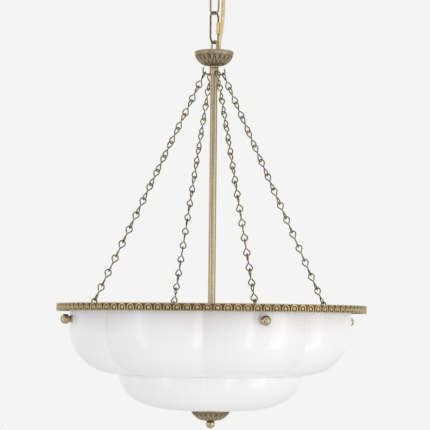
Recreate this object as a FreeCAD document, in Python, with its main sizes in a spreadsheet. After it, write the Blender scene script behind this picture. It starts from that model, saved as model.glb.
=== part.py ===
import FreeCAD, Part
import math
import operator
import os
import types
import Sketcher
from FreeCAD import Placement, Rotation, Vector

# Bowl chandelier: a lobed opal glass bowl in a cast rim, carried by four jack chains and a centre rod.
# The origin is on the hanging axis at the ceiling, +Z points up, and lengths are in millimetres.

DRIVING = [
    # Ceiling fitting
    ("bracket_length", 92, "ceiling bracket, along X"),
    ("bracket_width", 20, "ceiling bracket, along Y"),
    ("bracket_thickness", 2, "ceiling bracket sheet"),
    ("screw_spacing", 70, "between the centres of the two ceiling slots"),
    ("slot_length", 16, "ceiling slot, end to end"),
    ("slot_width", 4.5, "ceiling slot, across"),
    ("canopy_diameter", 110, "canopy, across its rim"),
    ("canopy_height", 56, "ceiling to the canopy's flat bottom"),
    ("canopy_flat", 46, "canopy's flat bottom, across"),
    ("canopy_lip", 4, "straight lip of the canopy at the ceiling"),
    ("canopy_curve", 60, "radius of the canopy's side"),
    ("canopy_wall", 1.2, "canopy sheet"),
    ("nipple_diameter", 10, "threaded nipple through the canopy"),
    ("nipple_bore", 7, "wire way of the nipple"),
    ("nipple_grip", 8, "nipple screwed into the canopy loop"),
    ("nut_flats", 14, "lock nut, across its flats"),
    ("nut_height", 3, "lock nut"),
    ("thread_clearance", 0.05, "radial clearance of every screwed or turned fit"),
    ("seat_gap", 0.1, "gap between pieces that are clamped or soldered together"),
    ("block_length", 28, "terminal block, along Y"),
    ("block_width", 14, "terminal block, along X"),
    ("block_height", 13, "terminal block, hanging from the bracket"),
    ("block_hole", 3.5, "wire hole of the terminal block"),
    ("block_pitch", 8, "between the wire holes"),
    # Hanging chain and its two loops
    ("chain_turn", 27, "degrees from X to the plane of the canopy loop"),
    ("loop_wire", 3.5, "wire of the canopy loop and the cup loop"),
    ("loop_spacing", 11.5, "between the legs of a loop, centre to centre"),
    ("canopy_loop_reach", 17.6, "canopy's bottom to the loop's lowest bar, on its centre line"),
    ("canopy_boss", 16, "round boss of the canopy loop"),
    ("canopy_boss_height", 10, "boss of the canopy loop"),
    ("link_wire", 3.2, "wire of a hanging link"),
    ("link_inner_width", 15.1, "opening of a hanging link, across"),
    ("link_inner_length", 48, "opening of a hanging link, along"),
    ("link_slit", 0.5, "open butt joint in the upper link's leg"),
    ("link_gap", 3.8, "opening in the lower link's leg, under its screw sleeve"),
    ("sleeve_diameter", 7, "screw sleeve of the lower link"),
    ("sleeve_length", 19, "screw sleeve of the lower link"),
    ("sleeve_grip", 2.8, "screw sleeve past the lower link's opening, at its lower end"),
    ("sleeve_edge", 0.6, "chamfer of the screw sleeve's ends"),
    ("hinge_gap", 0.3, "clearance between links that move on each other"),
    ("bail_above_rim", 17.9, "top cup's rim to the cup loop's highest bar, on its centre line"),
    # Flex
    ("cord_diameter", 6.3, "round flex beside the chain"),
    ("cord_side", -18, "degrees from X to the side of the chain where the flex hangs"),
    ("bush_flange", 9.2, "flange of a cord bush"),
    ("bush_flange_height", 1.5, "flange of a cord bush"),
    ("bush_spigot", 8.4, "spigot of a cord bush, across"),
    ("bush_nose", 6, "cord bush from its flange's back to its nose"),
    ("bush_lip", 0.8, "wall of a cord bush at its nose"),
    ("bush_depth", 3, "spigot of a cord bush, along"),
    # Top cup, hooks and rod
    ("cup_diameter", 63.4, "top cup, across its rim"),
    ("cup_height", 22.8, "top cup"),
    ("cup_wall", 1.6, "wall of both cups"),
    ("cup_foot", 17.2, "flat foot of both cups, across"),
    ("cup_curve", 28, "radius of the top cup's side"),
    ("cup_rim_height", 5.8, "plain rim of the top cup"),
    ("cup_rim_step", 0.8, "rim bead beyond the cups' sides"),
    ("boss_diameter", 25, "boss of the cup loop"),
    ("boss_height", 8, "boss of the cup loop above the cup's floor"),
    ("boss_lift", 1.2, "cup's floor to the boss's overhanging underside"),
    ("spigot_length", 14, "cup loop's spigot inside the rod"),
    ("collar_diameter", 15.2, "hook collar"),
    ("collar_length", 17.3, "hook collar"),
    ("collar_bead", 0.6, "lower bead of the hook collar beyond its side"),
    ("collar_bead_height", 2.4, "lower bead of the hook collar"),
    ("hook_wire", 2.2, "wire of a hook"),
    ("hook_bend", 4.5, "radius of a hook's bend, on its centre line"),
    ("hook_reach", 14.5, "axis to the centre of a hook's bend"),
    ("hook_height", 7.6, "collar's bottom to the centre of a hook's bend"),
    ("hook_lean", 12, "degrees that a hook's tip leans towards the rod"),
    ("hook_tip", 5, "straight tip of a hook"),
    ("hook_root", 1, "hook soldered into the collar"),
    ("rod_diameter", 12, "centre rod"),
    ("rod_bore", 9, "wire way of the rod"),
    ("rod_thread", 18, "tapped lower end of the rod"),
    ("wire_hole", 5, "side hole of the rod in the lamp hub"),
    ("cable_diameter", 5.6, "cable inside the rod"),
    # Rim
    ("ring_drop", 394.6, "top cup's foot to the rim's middle plane"),
    ("rim_overhang", 18, "bowl's lobes to the rim band's outside"),
    ("rim_height", 12, "rim band"),
    ("rim_thickness", 3.5, "rim band with its edge beads"),
    ("rim_bead", 2, "edge bead of the rim band, up and down"),
    ("rim_recess", 0.8, "field of the rim band behind its beads"),
    ("plate_land", 24, "rim plate inwards of the bowl's lobes, to its opening"),
    ("plate_thickness", 2, "rim plate"),
    ("plate_top", 4, "rim's middle plane to the plate's top"),
    ("tab_width", 16, "chain tab of the rim plate"),
    ("tab_length", 20, "chain tab beyond the plate's opening"),
    ("eye_inset", 8, "end of a chain tab to its eye bolt"),
    ("eye_radius", 4, "eye of an eye bolt, on its centre line"),
    ("eye_wire", 2.2, "wire of an eye bolt"),
    ("eye_shank", 3, "shank of an eye bolt"),
    ("eye_nut_flats", 5.5, "nut of an eye bolt, across its flats"),
    ("eye_nut_height", 2.4, "nut of an eye bolt"),
    # Jack chains
    ("jack_pitch", 25.6, "length that a jack link adds to its chain, before the last fitting"),
    ("jack_wire", 2.1, "wire of a jack link"),
    ("jack_eye", 4.95, "eye of a jack link, on its centre line"),
    ("jack_gap", 0.62, "gap where two jack links meet, on their round wire"),
    ("jack_twist", 90, "degrees that a chain twists from its hook to the rim"),
    # Glass bowl
    ("lobe_count", 8, "lobes round the bowl"),
    ("glass_wall", 4.5, "glass"),
    ("glass_gap", 0.5, "rim plate to the glass's edge"),
    ("bowl_diameter", 464, "bowl across two lobes"),
    ("lobe_depth", 14.5, "crease between two lobes, in from the lobes"),
    ("crease_radius", 8, "rounding of a crease"),
    ("shoulder_drop", 34, "rim's middle plane to the end of the bowl's upright wall"),
    ("upper_depth", 106, "rim's middle plane to the upper tier's underside"),
    ("upper_curve", 78, "curved side of the upper tier, inwards"),
    ("tier_step", 5, "upper tier's flat underside round the lower tier"),
    ("lower_curve", 87, "curved side of the lower tier, inwards"),
    ("lower_lobe_depth", 1.5, "crease of the lower tier"),
    ("bowl_depth", 162.4, "rim's middle plane to the bowl's underside"),
    ("tier_overlap", 3, "lower tier run up inside the upper one"),
    # Knob screws and their brackets
    ("knob_count", 4, "knob screws, and the chains above them"),
    ("knob_drop", 19.3, "rim's middle plane to the knob screws"),
    ("knob_diameter", 16, "ball of a knob"),
    ("knob_stem", 8.7, "back of a knob to the centre of its ball"),
    ("knob_neck", 9, "neck of a knob, across"),
    ("knob_bore_depth", 5, "stud inside the ball, past the ball's near side"),
    ("stud_diameter", 3.55, "threaded stud of a knob, across the middle of its M4 thread"),
    ("stud_tip", 3, "stud beyond its bracket's boss"),
    ("stud_hole", 5, "hole of the glass round a stud"),
    ("felt_diameter", 13, "felt washer"),
    ("felt_thickness", 1.4, "felt washer"),
    ("felt_gap", 0.25, "inner felt washer to the middle of the curved glass"),
    ("leg_sheet", 2, "sheet of a glass bracket"),
    ("leg_width", 14, "glass bracket"),
    ("leg_foot", 14.8, "glass bracket under the rim plate"),
    ("leg_tail", 8, "glass bracket below its screw"),
    ("leg_boss", 9, "tapped boss of a glass bracket, across"),
    ("leg_boss_height", 4, "tapped boss of a glass bracket"),
    ("rivet_diameter", 4, "rivet of a glass bracket"),
    ("rivet_head", 7, "rivet head, across"),
    ("rivet_head_height", 1.6, "rivet head"),
    ("rivet_inset", 6, "glass bracket's inner end to its rivet"),
    # Bottom cup and finial
    ("bottom_cup_diameter", 64, "bottom cup, across its rim"),
    ("bottom_cup_height", 17.3, "bottom cup"),
    ("bottom_cup_curve", 36, "radius of the bottom cup's side"),
    ("bottom_rim_height", 2, "plain rim of the bottom cup"),
    ("bottom_cup_gap", 0.3, "glass to the bottom cup's rim"),
    ("seat_hole", 11.2, "hole of the bottom cup that the finial ball seats in"),
    ("ball_diameter", 14.8, "finial ball"),
    ("ball_flat", 10.4, "flat top of the finial ball, across"),
    ("ball_bore_depth", 9, "stud inside the finial ball"),
    ("finial_stud", 8, "threaded stud of the finial"),
    ("finial_grip", 15, "finial stud inside the rod"),
    ("glass_bore", 11, "hole in the bottom of the glass"),
    ("gasket_diameter", 34, "rubber gasket on the glass"),
    ("gasket_thickness", 2, "rubber gasket"),
    ("washer_diameter", 32, "steel washer under the rod"),
    ("washer_thickness", 1.5, "steel washer"),
    # Lamps
    ("lamp_count", 4, "lamps round the rod"),
    ("lamp_turn", 45, "degrees from X to the first lamp"),
    ("hub_drop", 50, "rim's middle plane to the lamps"),
    ("hub_diameter", 40, "lamp hub"),
    ("hub_height", 24, "lamp hub without its lid"),
    ("hub_wall", 2, "wall of the lamp hub and its lid"),
    ("holder_nipple", 10, "threaded nipple of a lampholder"),
    ("holder_start", 24, "axis to the back of a lampholder's casing"),
    ("holder_back", 22, "back of a lampholder's casing, across"),
    ("holder_taper", 9, "tapered back of a lampholder's casing"),
    ("holder_diameter", 39, "lampholder"),
    ("holder_length", 52, "lampholder's casing"),
    ("holder_rim", 1.5, "mouth ring of a lampholder beyond its casing"),
    ("holder_rim_length", 4, "mouth ring of a lampholder"),
    ("holder_bore", 28.4, "mouth of a lampholder"),
    ("holder_depth", 30, "mouth of a lampholder, inwards"),
    ("cap_diameter", 26, "screw cap of a bulb"),
    ("cap_contact", 10, "end contact of a bulb, across"),
    ("cap_contact_height", 1.5, "end contact of a bulb"),
    ("bulb_diameter", 60, "globe of a bulb"),
    ("bulb_neck", 27.2, "neck of a bulb's globe, across"),
    ("bulb_neck_length", 6, "straight neck of a bulb's globe"),
    ("bulb_throat", 22.5, "centre of the globe back to where its neck flares"),
    ("bulb_flare", 60, "radius of the flare between neck and globe"),
    ("bulb_length", 78, "globe of a bulb, beyond its lampholder"),
]

# The flex's route by hand: sideways from the chain, backwards from it, and height, from canopy to cup.
CORD_ROUTE = [
    (14.2, 0.0, -60.0),
    (14.7, 0.4, -80.0),
    (14.2, 1.2, -106.0),
    (13.4, 1.0, -130.0),
    (12.3, 0.8, -147.0),
    (9.4, 0.8, -159.0),
    (7.5, 1.5, -174.5),
    (7.2, 1.8, -193.4),
]
# Share of the shorter run that each arc of the flex takes up.
CORD_ARC_SHARE = 0.45
# Sections of each curved tier of the glass, sides of the jack links' wire and straights of their eyes.
TIER_SECTIONS = 6
JACK_SIDES = 5
JACK_EYE_STRAIGHTS = 6
# Angles of a jack link's eye, from its tip to its shank, as seen square to the eye.
JACK_TIP_ANGLE = 252
JACK_SHANK_ANGLE = -72
# Length that cutting tools run past the faces they open.
CUT_MARGIN = 2

UP = Vector(0, 0, 1)
LEFT = 1
RIGHT = -1
FULL_TURN = 360
STEPS = {"+": operator.add, "-": operator.sub, "*": operator.mul, "/": operator.truediv}


class Size:
    """A number that keeps the sheet expression it comes from."""

    def __init__(self, value, text):
        self.value = value
        self.text = text

    def __add__(self, other):
        return combined(self, "+", other)

    def __radd__(self, other):
        return combined(other, "+", self)

    def __sub__(self, other):
        return combined(self, "-", other)

    def __rsub__(self, other):
        return combined(other, "-", self)

    def __mul__(self, other):
        return combined(self, "*", other)

    def __rmul__(self, other):
        return combined(other, "*", self)

    def __truediv__(self, other):
        return combined(self, "/", other)

    def __neg__(self):
        return combined(0, "-", self)


def as_size(number):
    if isinstance(number, Size):
        return number
    return Size(number, f"({number})")


def combined(first, step, second):
    first = as_size(first)
    second = as_size(second)
    value = STEPS[step](first.value, second.value)
    return Size(value, f"({first.text} {step} {second.text})")


def root(size):
    return Size(math.sqrt(size.value), f"sqrt({size.text})")


def half_chord(radius, offset):
    """Half the chord of a circle at a distance from its centre."""
    return root(radius * radius - offset * offset)


doc = FreeCAD.newDocument("chandelier")
sheet = doc.addObject("Spreadsheet::Sheet", "Sizes")
for row, (alias, number, meaning) in enumerate(DRIVING, start=1):
    sheet.set(f"A{row}", meaning)
    sheet.set(f"B{row}", str(number))
    sheet.setAlias(f"B{row}", alias)
doc.recompute()
s = types.SimpleNamespace(
    **{alias: Size(float(sheet.get(alias)), f"Sizes.{alias}") for alias, number, meaning in DRIVING}
)

# Heights down the hanging axis
canopy_bottom = -s.canopy_height
canopy_bar = canopy_bottom - s.canopy_loop_reach
link_bars = s.link_inner_length + s.link_wire
upper_top = canopy_bar + s.loop_wire / 2 + s.hinge_gap + s.link_wire / 2
upper_bottom = upper_top - link_bars
lower_top = upper_bottom + s.link_wire + s.hinge_gap
lower_bottom = lower_top - link_bars
bail_bar = lower_bottom + s.link_wire / 2 + s.hinge_gap + s.loop_wire / 2
cup_bottom = bail_bar - s.bail_above_rim - s.cup_height
cup_floor = cup_bottom + s.cup_wall
boss_deck = cup_floor + s.boss_height
collar_bottom = cup_bottom - s.collar_length
ring_plane = cup_bottom - s.ring_drop
plate_level = ring_plane + s.plate_top
plate_under = plate_level - s.plate_thickness
knob_level = ring_plane - s.knob_drop
hub_level = ring_plane - s.hub_drop
bowl_bottom = ring_plane - s.bowl_depth
glass_floor = bowl_bottom + s.glass_wall
rod_end = glass_floor + s.gasket_thickness + s.washer_thickness
bottom_cup_rim = bowl_bottom - s.bottom_cup_gap
bottom_cup_foot = bottom_cup_rim - s.bottom_cup_height
ball_level = bottom_cup_foot - half_chord(s.ball_diameter / 2, s.seat_hole / 2) - s.hinge_gap

# Radii that pieces share
link_radius = (s.link_inner_width + s.link_wire) / 2
rod_radius = s.rod_diameter / 2
bowl_radius = s.bowl_diameter / 2
upper_flat = bowl_radius - s.upper_curve
lower_radius = upper_flat - s.tier_step
lower_flat = lower_radius - s.lower_curve
rim_outer = bowl_radius + s.rim_overhang
rim_inner = rim_outer - s.rim_thickness
plate_inner = bowl_radius - s.plate_land
tab_reach = plate_inner - s.tab_length
eye_place = tab_reach + s.eye_inset
stud_bore = s.stud_diameter / 2 + s.thread_clearance
finial_bore = s.finial_stud / 2 + s.thread_clearance
felt_inner_face = bowl_radius - s.glass_wall - s.felt_gap
leg_face = felt_inner_face - s.felt_thickness - s.seat_gap
leg_boss_face = leg_face - s.leg_sheet - s.leg_boss_height
felt_outer_face = bowl_radius + s.seat_gap
knob_base = felt_outer_face + s.felt_thickness + s.hinge_gap
knob_reach = knob_base + s.knob_stem
lamp_mouth = s.holder_start + s.holder_length
cap_back = lamp_mouth - s.holder_depth + s.cap_contact_height + s.hinge_gap

nodes = []


def node(label, item):
    """Name a finished piece, and put it on the list of pieces to write."""
    item.Label = label
    nodes.append(item)
    return item


def bind(item, **sizes):
    for name, size in sizes.items():
        item.setExpression(name, as_size(size).text)


def number_of(size):
    return as_size(size).value


def point(x, y, z=0):
    return Vector(number_of(x), number_of(y), number_of(z))


def toward(degrees, distance=1.0):
    """A level vector at an angle from +X."""
    angle = math.radians(degrees)
    return Vector(math.cos(angle), math.sin(angle), 0) * distance


# Sketches and turned bodies


def origin_part(body, role):
    return next(item for item in body.Origin.OriginFeatures if item.Role == role)


def new_sketch(body, plane):
    sketch = body.newObject("Sketcher::SketchObject", "sketch")
    sketch.AttachmentSupport = [(origin_part(body, plane), "")]
    sketch.MapMode = "FlatFace"
    return sketch


def bind_last(sketch, rule, size):
    index = sketch.addConstraint(rule)
    sketch.setExpression(f"Constraints[{index}]", as_size(size).text)


def pin_point(sketch, geometry, end, x, y):
    """Bind both coordinates of a sketch point."""
    for kind, axis, size in (("DistanceX", -2, x), ("DistanceY", -1, y)):
        if abs(number_of(size)) < 1e-9:
            sketch.addConstraint(Sketcher.Constraint("PointOnObject", geometry, end, axis))
        else:
            rule = Sketcher.Constraint(kind, -1, 1, geometry, end, number_of(size))
            bind_last(sketch, rule, size)


def arc_between(start, end, turn, radius):
    """The shorter arc from start to end, turning left or right on its way."""
    chord = end - start
    rise = math.sqrt(max(radius**2 - chord.Length**2 / 4, 0))
    side = Vector(-chord.y, chord.x, 0).normalize() * turn
    centre = (start + end) / 2 + side * rise
    circle = Part.Circle(centre, UP, radius)
    angles = [math.atan2(spot.y - centre.y, spot.x - centre.x) for spot in (start, end)]
    if turn == RIGHT:
        angles.reverse()
    return Part.ArcOfCircle(circle, angles[0], angles[1])


def draw(sketch, outline, closed=True):
    """Lines through the outline's points; a point with a turn and a radius starts an arc."""
    count = len(outline)
    drawn = []
    for index in range(count if closed else count - 1):
        corner = outline[index]
        start = point(*corner[:2])
        end = point(*outline[(index + 1) % count][:2])
        if len(corner) == 2:
            drawn.append((sketch.addGeometry(Part.LineSegment(start, end), False), 1, 2))
        else:
            turn, radius = corner[2]
            arc = sketch.addGeometry(arc_between(start, end, turn, number_of(radius)), False)
            drawn.append((arc, 1, 2) if turn == LEFT else (arc, 2, 1))
            bind_last(sketch, Sketcher.Constraint("Radius", arc, number_of(radius)), radius)
    for index, (geometry, first, last) in enumerate(drawn):
        pin_point(sketch, geometry, first, *outline[index][:2])
        if closed or index + 1 < len(drawn):
            after = drawn[(index + 1) % len(drawn)]
            sketch.addConstraint(Sketcher.Constraint("Coincident", geometry, last, after[0], after[1]))
    if not closed:
        pin_point(sketch, drawn[-1][0], drawn[-1][2], *outline[-1][:2])


def circle_in(sketch, x, y, diameter):
    circle = sketch.addGeometry(Part.Circle(point(x, y), UP, number_of(diameter) / 2), False)
    pin_point(sketch, circle, 3, x, y)
    bind_last(sketch, Sketcher.Constraint("Diameter", circle, number_of(diameter)), diameter)


def place(item, z, turn=0, x=0, y=0, tilt=0):
    """Set a piece upright or tilted about X, turned about the hanging axis, at its height."""
    turned = Rotation(UP, number_of(turn)) * Rotation(Vector(1, 0, 0), tilt)
    item.Placement = Placement(point(x, y, z), turned)
    bind(item, **{"Placement.Base.z": z})


def new_body(label):
    return node(label, doc.addObject("PartDesign::Body", label))


def turned_feature(body, outline, axis="V_Axis"):
    sketch = new_sketch(body, "XZ_Plane")
    draw(sketch, outline)
    feature = body.newObject("PartDesign::Revolution", "turned")
    feature.Profile = sketch
    feature.ReferenceAxis = (sketch, [axis])
    feature.Angle = FULL_TURN
    return feature


def padded_feature(body, sketch, length, midplane=False, reverse=False):
    feature = body.newObject("PartDesign::Pad", "pad")
    feature.Profile = sketch
    feature.Midplane = midplane
    feature.Reversed = reverse
    bind(feature, Length=length)
    return feature


def hole_feature(body, plane, x, y, diameter, midplane=False):
    sketch = new_sketch(body, plane)
    circle_in(sketch, x, y, diameter)
    feature = body.newObject("PartDesign::Pocket", "hole")
    feature.Profile = sketch
    feature.Type = "ThroughAll"
    feature.Midplane = midplane
    return feature


def around(body, features, count):
    """Repeat features of a body round its upright axis."""
    pattern = body.newObject("PartDesign::PolarPattern", "ring")
    pattern.Originals = features
    pattern.Axis = (origin_part(body, "Z_Axis"), [""])
    pattern.Angle = FULL_TURN
    bind(pattern, Occurrences=count)
    body.Tip = pattern


def turned(label, outline, z, turn=0, axis="V_Axis", count=None, x=0, y=0, tilt=0):
    """A piece turned about an upright axis, or about a level one that points out from the rod."""
    body = new_body(label)
    feature = turned_feature(body, outline, axis)
    if count is not None:
        around(body, [feature], count)
    place(body, z, turn, x, y, tilt)
    return body


def tube_outline(inner, outer, low, high):
    return [(inner, low), (outer, low), (outer, high), (inner, high)]


# Solids from primitives


def box(length, width, height, x, y, z):
    """A box centred on x and y, standing on z."""
    item = doc.addObject("Part::Box", "box")
    bind(item, Length=length, Width=width, Height=height)
    item.Placement.Base = point(x - as_size(length) / 2, y - as_size(width) / 2, z)
    return item


def cylinder(radius, height, start, direction=UP):
    item = doc.addObject("Part::Cylinder", "cylinder")
    bind(item, Radius=radius, Height=height)
    item.Placement = Placement(start, Rotation(UP, direction))
    return item


def half_ring(radius, wire, centre, across, rise):
    """Half a ring of wire that bulges up or down in the upright plane along a level direction."""
    item = doc.addObject("Part::Torus", "bend")
    bind(item, Radius1=radius, Radius2=wire / 2, Angle3=FULL_TURN / 2)
    bulge = UP * rise
    item.Placement = Placement(centre, Rotation(across, bulge, across.cross(bulge), "XYZ"))
    return item


def fused(*items):
    item = doc.addObject("Part::MultiFuse", "fused")
    item.Shapes = list(items)
    return item


def cut(base, *tools):
    item = doc.addObject("Part::Cut", "cut")
    item.Base = base
    item.Tool = tools[0] if len(tools) == 1 else fused(*tools)
    return item


def hex_nut(flats, height, bore, z, x=0):
    prism = doc.addObject("Part::Prism", "nut")
    prism.Polygon = 6
    bind(prism, Circumradius=flats / math.sqrt(3), Height=height)
    prism.Placement.Base = point(x, 0, z)
    hole = cylinder(bore, height + 2 * CUT_MARGIN, point(x, 0, z - CUT_MARGIN))
    return cut(prism, hole)


def shaped(label, shape):
    item = doc.addObject("Part::Feature", label)
    item.Shape = shape
    return node(label, item)


def ring_of(label, item, count):
    """A group of like pieces round the hanging axis, as one node of separate solids."""
    doc.recompute()
    steps = int(count.value)
    copies = []
    for index in range(steps):
        copies.append(item.Shape.rotated(Vector(), UP, FULL_TURN * index / steps))
    return shaped(label, Part.makeCompound(copies))


# Ceiling fitting


def ceiling_bracket():
    thick = s.bracket_thickness
    bar = box(s.bracket_length, s.bracket_width, thick, 0, 0, -thick)
    depth = thick + 2 * CUT_MARGIN
    low = -thick - CUT_MARGIN
    tools = [cylinder(s.nipple_diameter / 2 + s.thread_clearance, depth, point(0, 0, low))]
    straight = s.slot_length - s.slot_width
    for side in (-1, 1):
        middle = s.screw_spacing * (side / 2)
        tools.append(box(straight, s.slot_width, depth, middle, 0, low))
        for end in (-1, 1):
            tools.append(cylinder(s.slot_width / 2, depth, point(middle + straight * (end / 2), 0, low)))
    node("ceiling_bracket", cut(bar, *tools))


def canopy():
    rim = s.canopy_diameter / 2
    flat = s.canopy_flat / 2
    wall = s.canopy_wall
    hole = s.nipple_diameter / 2 + s.seat_gap
    body = new_body("canopy")
    shell = [
        (rim - wall, 0),
        (rim, 0),
        (rim, -s.canopy_lip, (RIGHT, s.canopy_curve)),
        (flat, canopy_bottom),
        (hole, canopy_bottom),
        (hole, canopy_bottom + wall),
        (flat - wall, canopy_bottom + wall, (LEFT, s.canopy_curve - wall)),
        (rim - wall, -s.canopy_lip),
    ]
    turned_feature(body, shell)
    side, back, height = CORD_ROUTE[0]
    spot = cord_point(side, back, height)
    hole_feature(body, "XY_Plane", spot.x, spot.y, s.bush_spigot + 2 * s.seat_gap)


def canopy_fixings():
    radius = s.nipple_diameter / 2
    length = s.canopy_height + s.nipple_grip
    turned("canopy_nipple", tube_outline(s.nipple_bore / 2, radius, -length, -s.seat_gap), 0)
    bore = radius + s.thread_clearance
    upper = hex_nut(s.nut_flats, s.nut_height, bore, -s.bracket_thickness - s.nut_height)
    lower = hex_nut(s.nut_flats, s.nut_height, bore, canopy_bottom + s.canopy_wall)
    group = doc.addObject("Part::Compound", "canopy_nuts")
    group.Links = [upper, lower]
    node("canopy_nuts", group)


def terminal_block():
    start = s.nut_flats / math.sqrt(3) + 1
    middle = start + s.block_width / 2
    low = -s.bracket_thickness - s.block_height
    block = box(s.block_width, s.block_length, s.block_height, middle, 0, low)
    tools = []
    for pole in (-1, 0, 1):
        mouth = point(start - CUT_MARGIN, s.block_pitch * pole, low + s.block_height / 3)
        reach = s.block_width + 2 * CUT_MARGIN
        tools.append(cylinder(s.block_hole / 2, reach, mouth, Vector(1, 0, 0)))
    node("terminal_block", cut(block, *tools))


def loop(label, boss, bend_centre, leg_root, turn, rise, tools):
    """A wire loop with two straight legs that stand in a round boss."""
    across = toward(turn)
    radius = s.loop_spacing / 2
    items = [boss, half_ring(radius, s.loop_wire, point(0, 0, bend_centre), across, rise)]
    length = (bend_centre - leg_root) * rise
    for side in (-1, 1):
        foot = across * (side * radius.value) + point(0, 0, leg_root)
        items.append(cylinder(s.loop_wire / 2, length, foot, UP * rise))
    node(label, cut(fused(*items), *tools))


def canopy_loop():
    low = canopy_bottom - s.canopy_boss_height
    boss = cylinder(s.canopy_boss / 2, s.canopy_boss_height, point(0, 0, low))
    bend = canopy_bar + s.loop_spacing / 2
    bore_end = canopy_bottom - s.nipple_grip - s.seat_gap
    bore = cylinder(
        s.nipple_diameter / 2 + s.thread_clearance,
        canopy_bottom - bore_end + CUT_MARGIN,
        point(0, 0, bore_end),
    )
    leg_root = low + (bore_end - low) / 2
    loop("canopy_loop", boss, bend, leg_root, s.chain_turn.value, -1, [bore])


def chain_link(label, top_bar, turn, opening_low, opening):
    """A long link of round wire with an opening in one of its legs."""
    radius = link_radius
    across = toward(turn)
    high = top_bar - radius
    low = top_bar - link_bars + radius
    items = [
        half_ring(radius, s.link_wire, point(0, 0, high), across, 1),
        half_ring(radius, s.link_wire, point(0, 0, low), across, -1),
    ]
    for side in (-1, 1):
        foot = across * (side * radius.value) + point(0, 0, low)
        items.append(cylinder(s.link_wire / 2, high - low, foot))
    leg = across * radius.value
    width = s.link_wire + 2 * CUT_MARGIN
    node(label, cut(fused(*items), box(width, width, opening, leg.x, leg.y, opening_low)))


def hanging_links():
    """The plain upper link, and the lower one with a screw sleeve over its opening."""
    upper_middle = (upper_top + upper_bottom) / 2
    chain_link("chain_link_upper", upper_top, s.chain_turn.value - 90, upper_middle, s.link_slit)
    sleeve_low = (lower_top + lower_bottom - s.sleeve_length) / 2
    turn = s.chain_turn.value
    chain_link("chain_link_lower", lower_top, turn, sleeve_low + s.sleeve_grip, s.link_gap)
    bore = s.link_wire / 2 + s.thread_clearance
    outer = s.sleeve_diameter / 2
    outline = [
        (bore, 0),
        (outer - s.sleeve_edge, 0),
        (outer, s.sleeve_edge),
        (outer, s.sleeve_length - s.sleeve_edge),
        (outer - s.sleeve_edge, s.sleeve_length),
        (bore, s.sleeve_length),
    ]
    leg = toward(turn, link_radius.value)
    turned("link_sleeve", outline, sleeve_low, x=leg.x, y=leg.y)


# Flex and its bushes


def cord_point(side, back, height):
    """A point of the flex's route, from its place beside and behind the chain."""
    turn = s.cord_side.value
    return toward(turn, side) + toward(turn + 90, back) + Vector(0, 0, height)


def cord_bush(label, spot, z, tilt):
    flange = s.bush_flange / 2
    spigot = s.bush_spigot / 2
    bore = s.cord_diameter / 2 + s.seat_gap
    outline = [
        (bore, -s.bush_depth),
        (spigot, -s.bush_depth),
        (spigot, 0),
        (flange, 0),
        (flange, s.bush_flange_height),
        (bore + s.bush_lip, s.bush_nose),
        (bore, s.bush_nose),
    ]
    turned(label, outline, z, x=spot.x, y=spot.y, tilt=tilt)


def hanging_cord():
    """Straight runs joined by arcs that are as large as the runs allow."""
    points = [cord_point(*stop) for stop in CORD_ROUTE]
    edges = []
    start = points[0]
    length = 0
    for before, corner, after in zip(points, points[1:], points[2:]):
        arriving = (corner - before).normalize()
        leaving = (after - corner).normalize()
        turn = arriving.getAngle(leaving)
        reach = CORD_ARC_SHARE * min((corner - before).Length, (after - corner).Length)
        radius = reach / math.tan(turn / 2)
        print(f"flex bend {math.degrees(turn):.1f} degrees, radius {radius:.0f} mm")
        first = corner - arriving * reach
        last = corner + leaving * reach
        inward = (leaving - arriving).normalize()
        middle = corner + inward * (radius / math.cos(turn / 2) - radius)
        edges.append(Part.LineSegment(start, first).toShape())
        edges.append(Part.Arc(first, middle, last).toShape())
        length += (first - start).Length + radius * turn
        start = last
    edges.append(Part.LineSegment(start, points[-1]).toShape())
    length += (points[-1] - start).Length
    radius = s.cord_diameter.value / 2
    section = Part.Wire(Part.makeCircle(radius, points[0], points[1] - points[0]))
    tube = Part.Wire(edges).makePipeShell([section], True, False)
    expected = math.pi * radius**2 * length
    print(f"flex length {length:.1f} mm, volume {tube.Volume / expected:.4f} of section times length")
    shaped("hanging_cord", tube)


# Top cup, hooks and rod


def cup_outline(radius, height, rim, hole, curve):
    """Half section of a cup that stands on its foot, open at the top, with a plain rim."""
    foot = s.cup_foot / 2
    wall = s.cup_wall
    side = radius - s.cup_rim_step
    shoulder = height - rim
    return [
        (hole, 0),
        (foot, 0, (LEFT, curve)),
        (side, shoulder),
        (radius, shoulder),
        (radius, height - s.cup_rim_step),
        (side, height),
        (side - wall, height),
        (side - wall, shoulder, (RIGHT, curve - wall)),
        (foot, wall),
        (hole, wall),
    ]


def top_cup():
    hole = s.rod_bore / 2 + s.seat_gap
    outline = cup_outline(s.cup_diameter / 2, s.cup_height, s.cup_rim_height, hole, s.cup_curve)
    turned("top_cup", outline, cup_bottom)


def cup_loop():
    boss = cylinder(s.boss_diameter / 2, s.boss_height - s.boss_lift, point(0, 0, cup_floor + s.boss_lift))
    foot = cylinder(s.cup_foot / 2, s.boss_height, point(0, 0, cup_floor))
    length = s.cup_wall + s.spigot_length
    spigot = cylinder(s.rod_bore / 2 - s.thread_clearance, length, point(0, 0, cup_floor - length))
    spot = cord_point(*CORD_ROUTE[-1])
    seat_depth = s.bush_depth + s.seat_gap
    seat = cylinder(
        s.bush_spigot / 2 + s.seat_gap,
        seat_depth + CUT_MARGIN,
        Vector(spot.x, spot.y, (boss_deck - seat_depth).value),
    )
    bend = bail_bar - s.loop_spacing / 2
    leg_root = boss_deck - s.boss_height / 2
    loop("cup_loop", fused(boss, foot, spigot), bend, leg_root, s.chain_turn.value + 90, 1, [seat])


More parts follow.
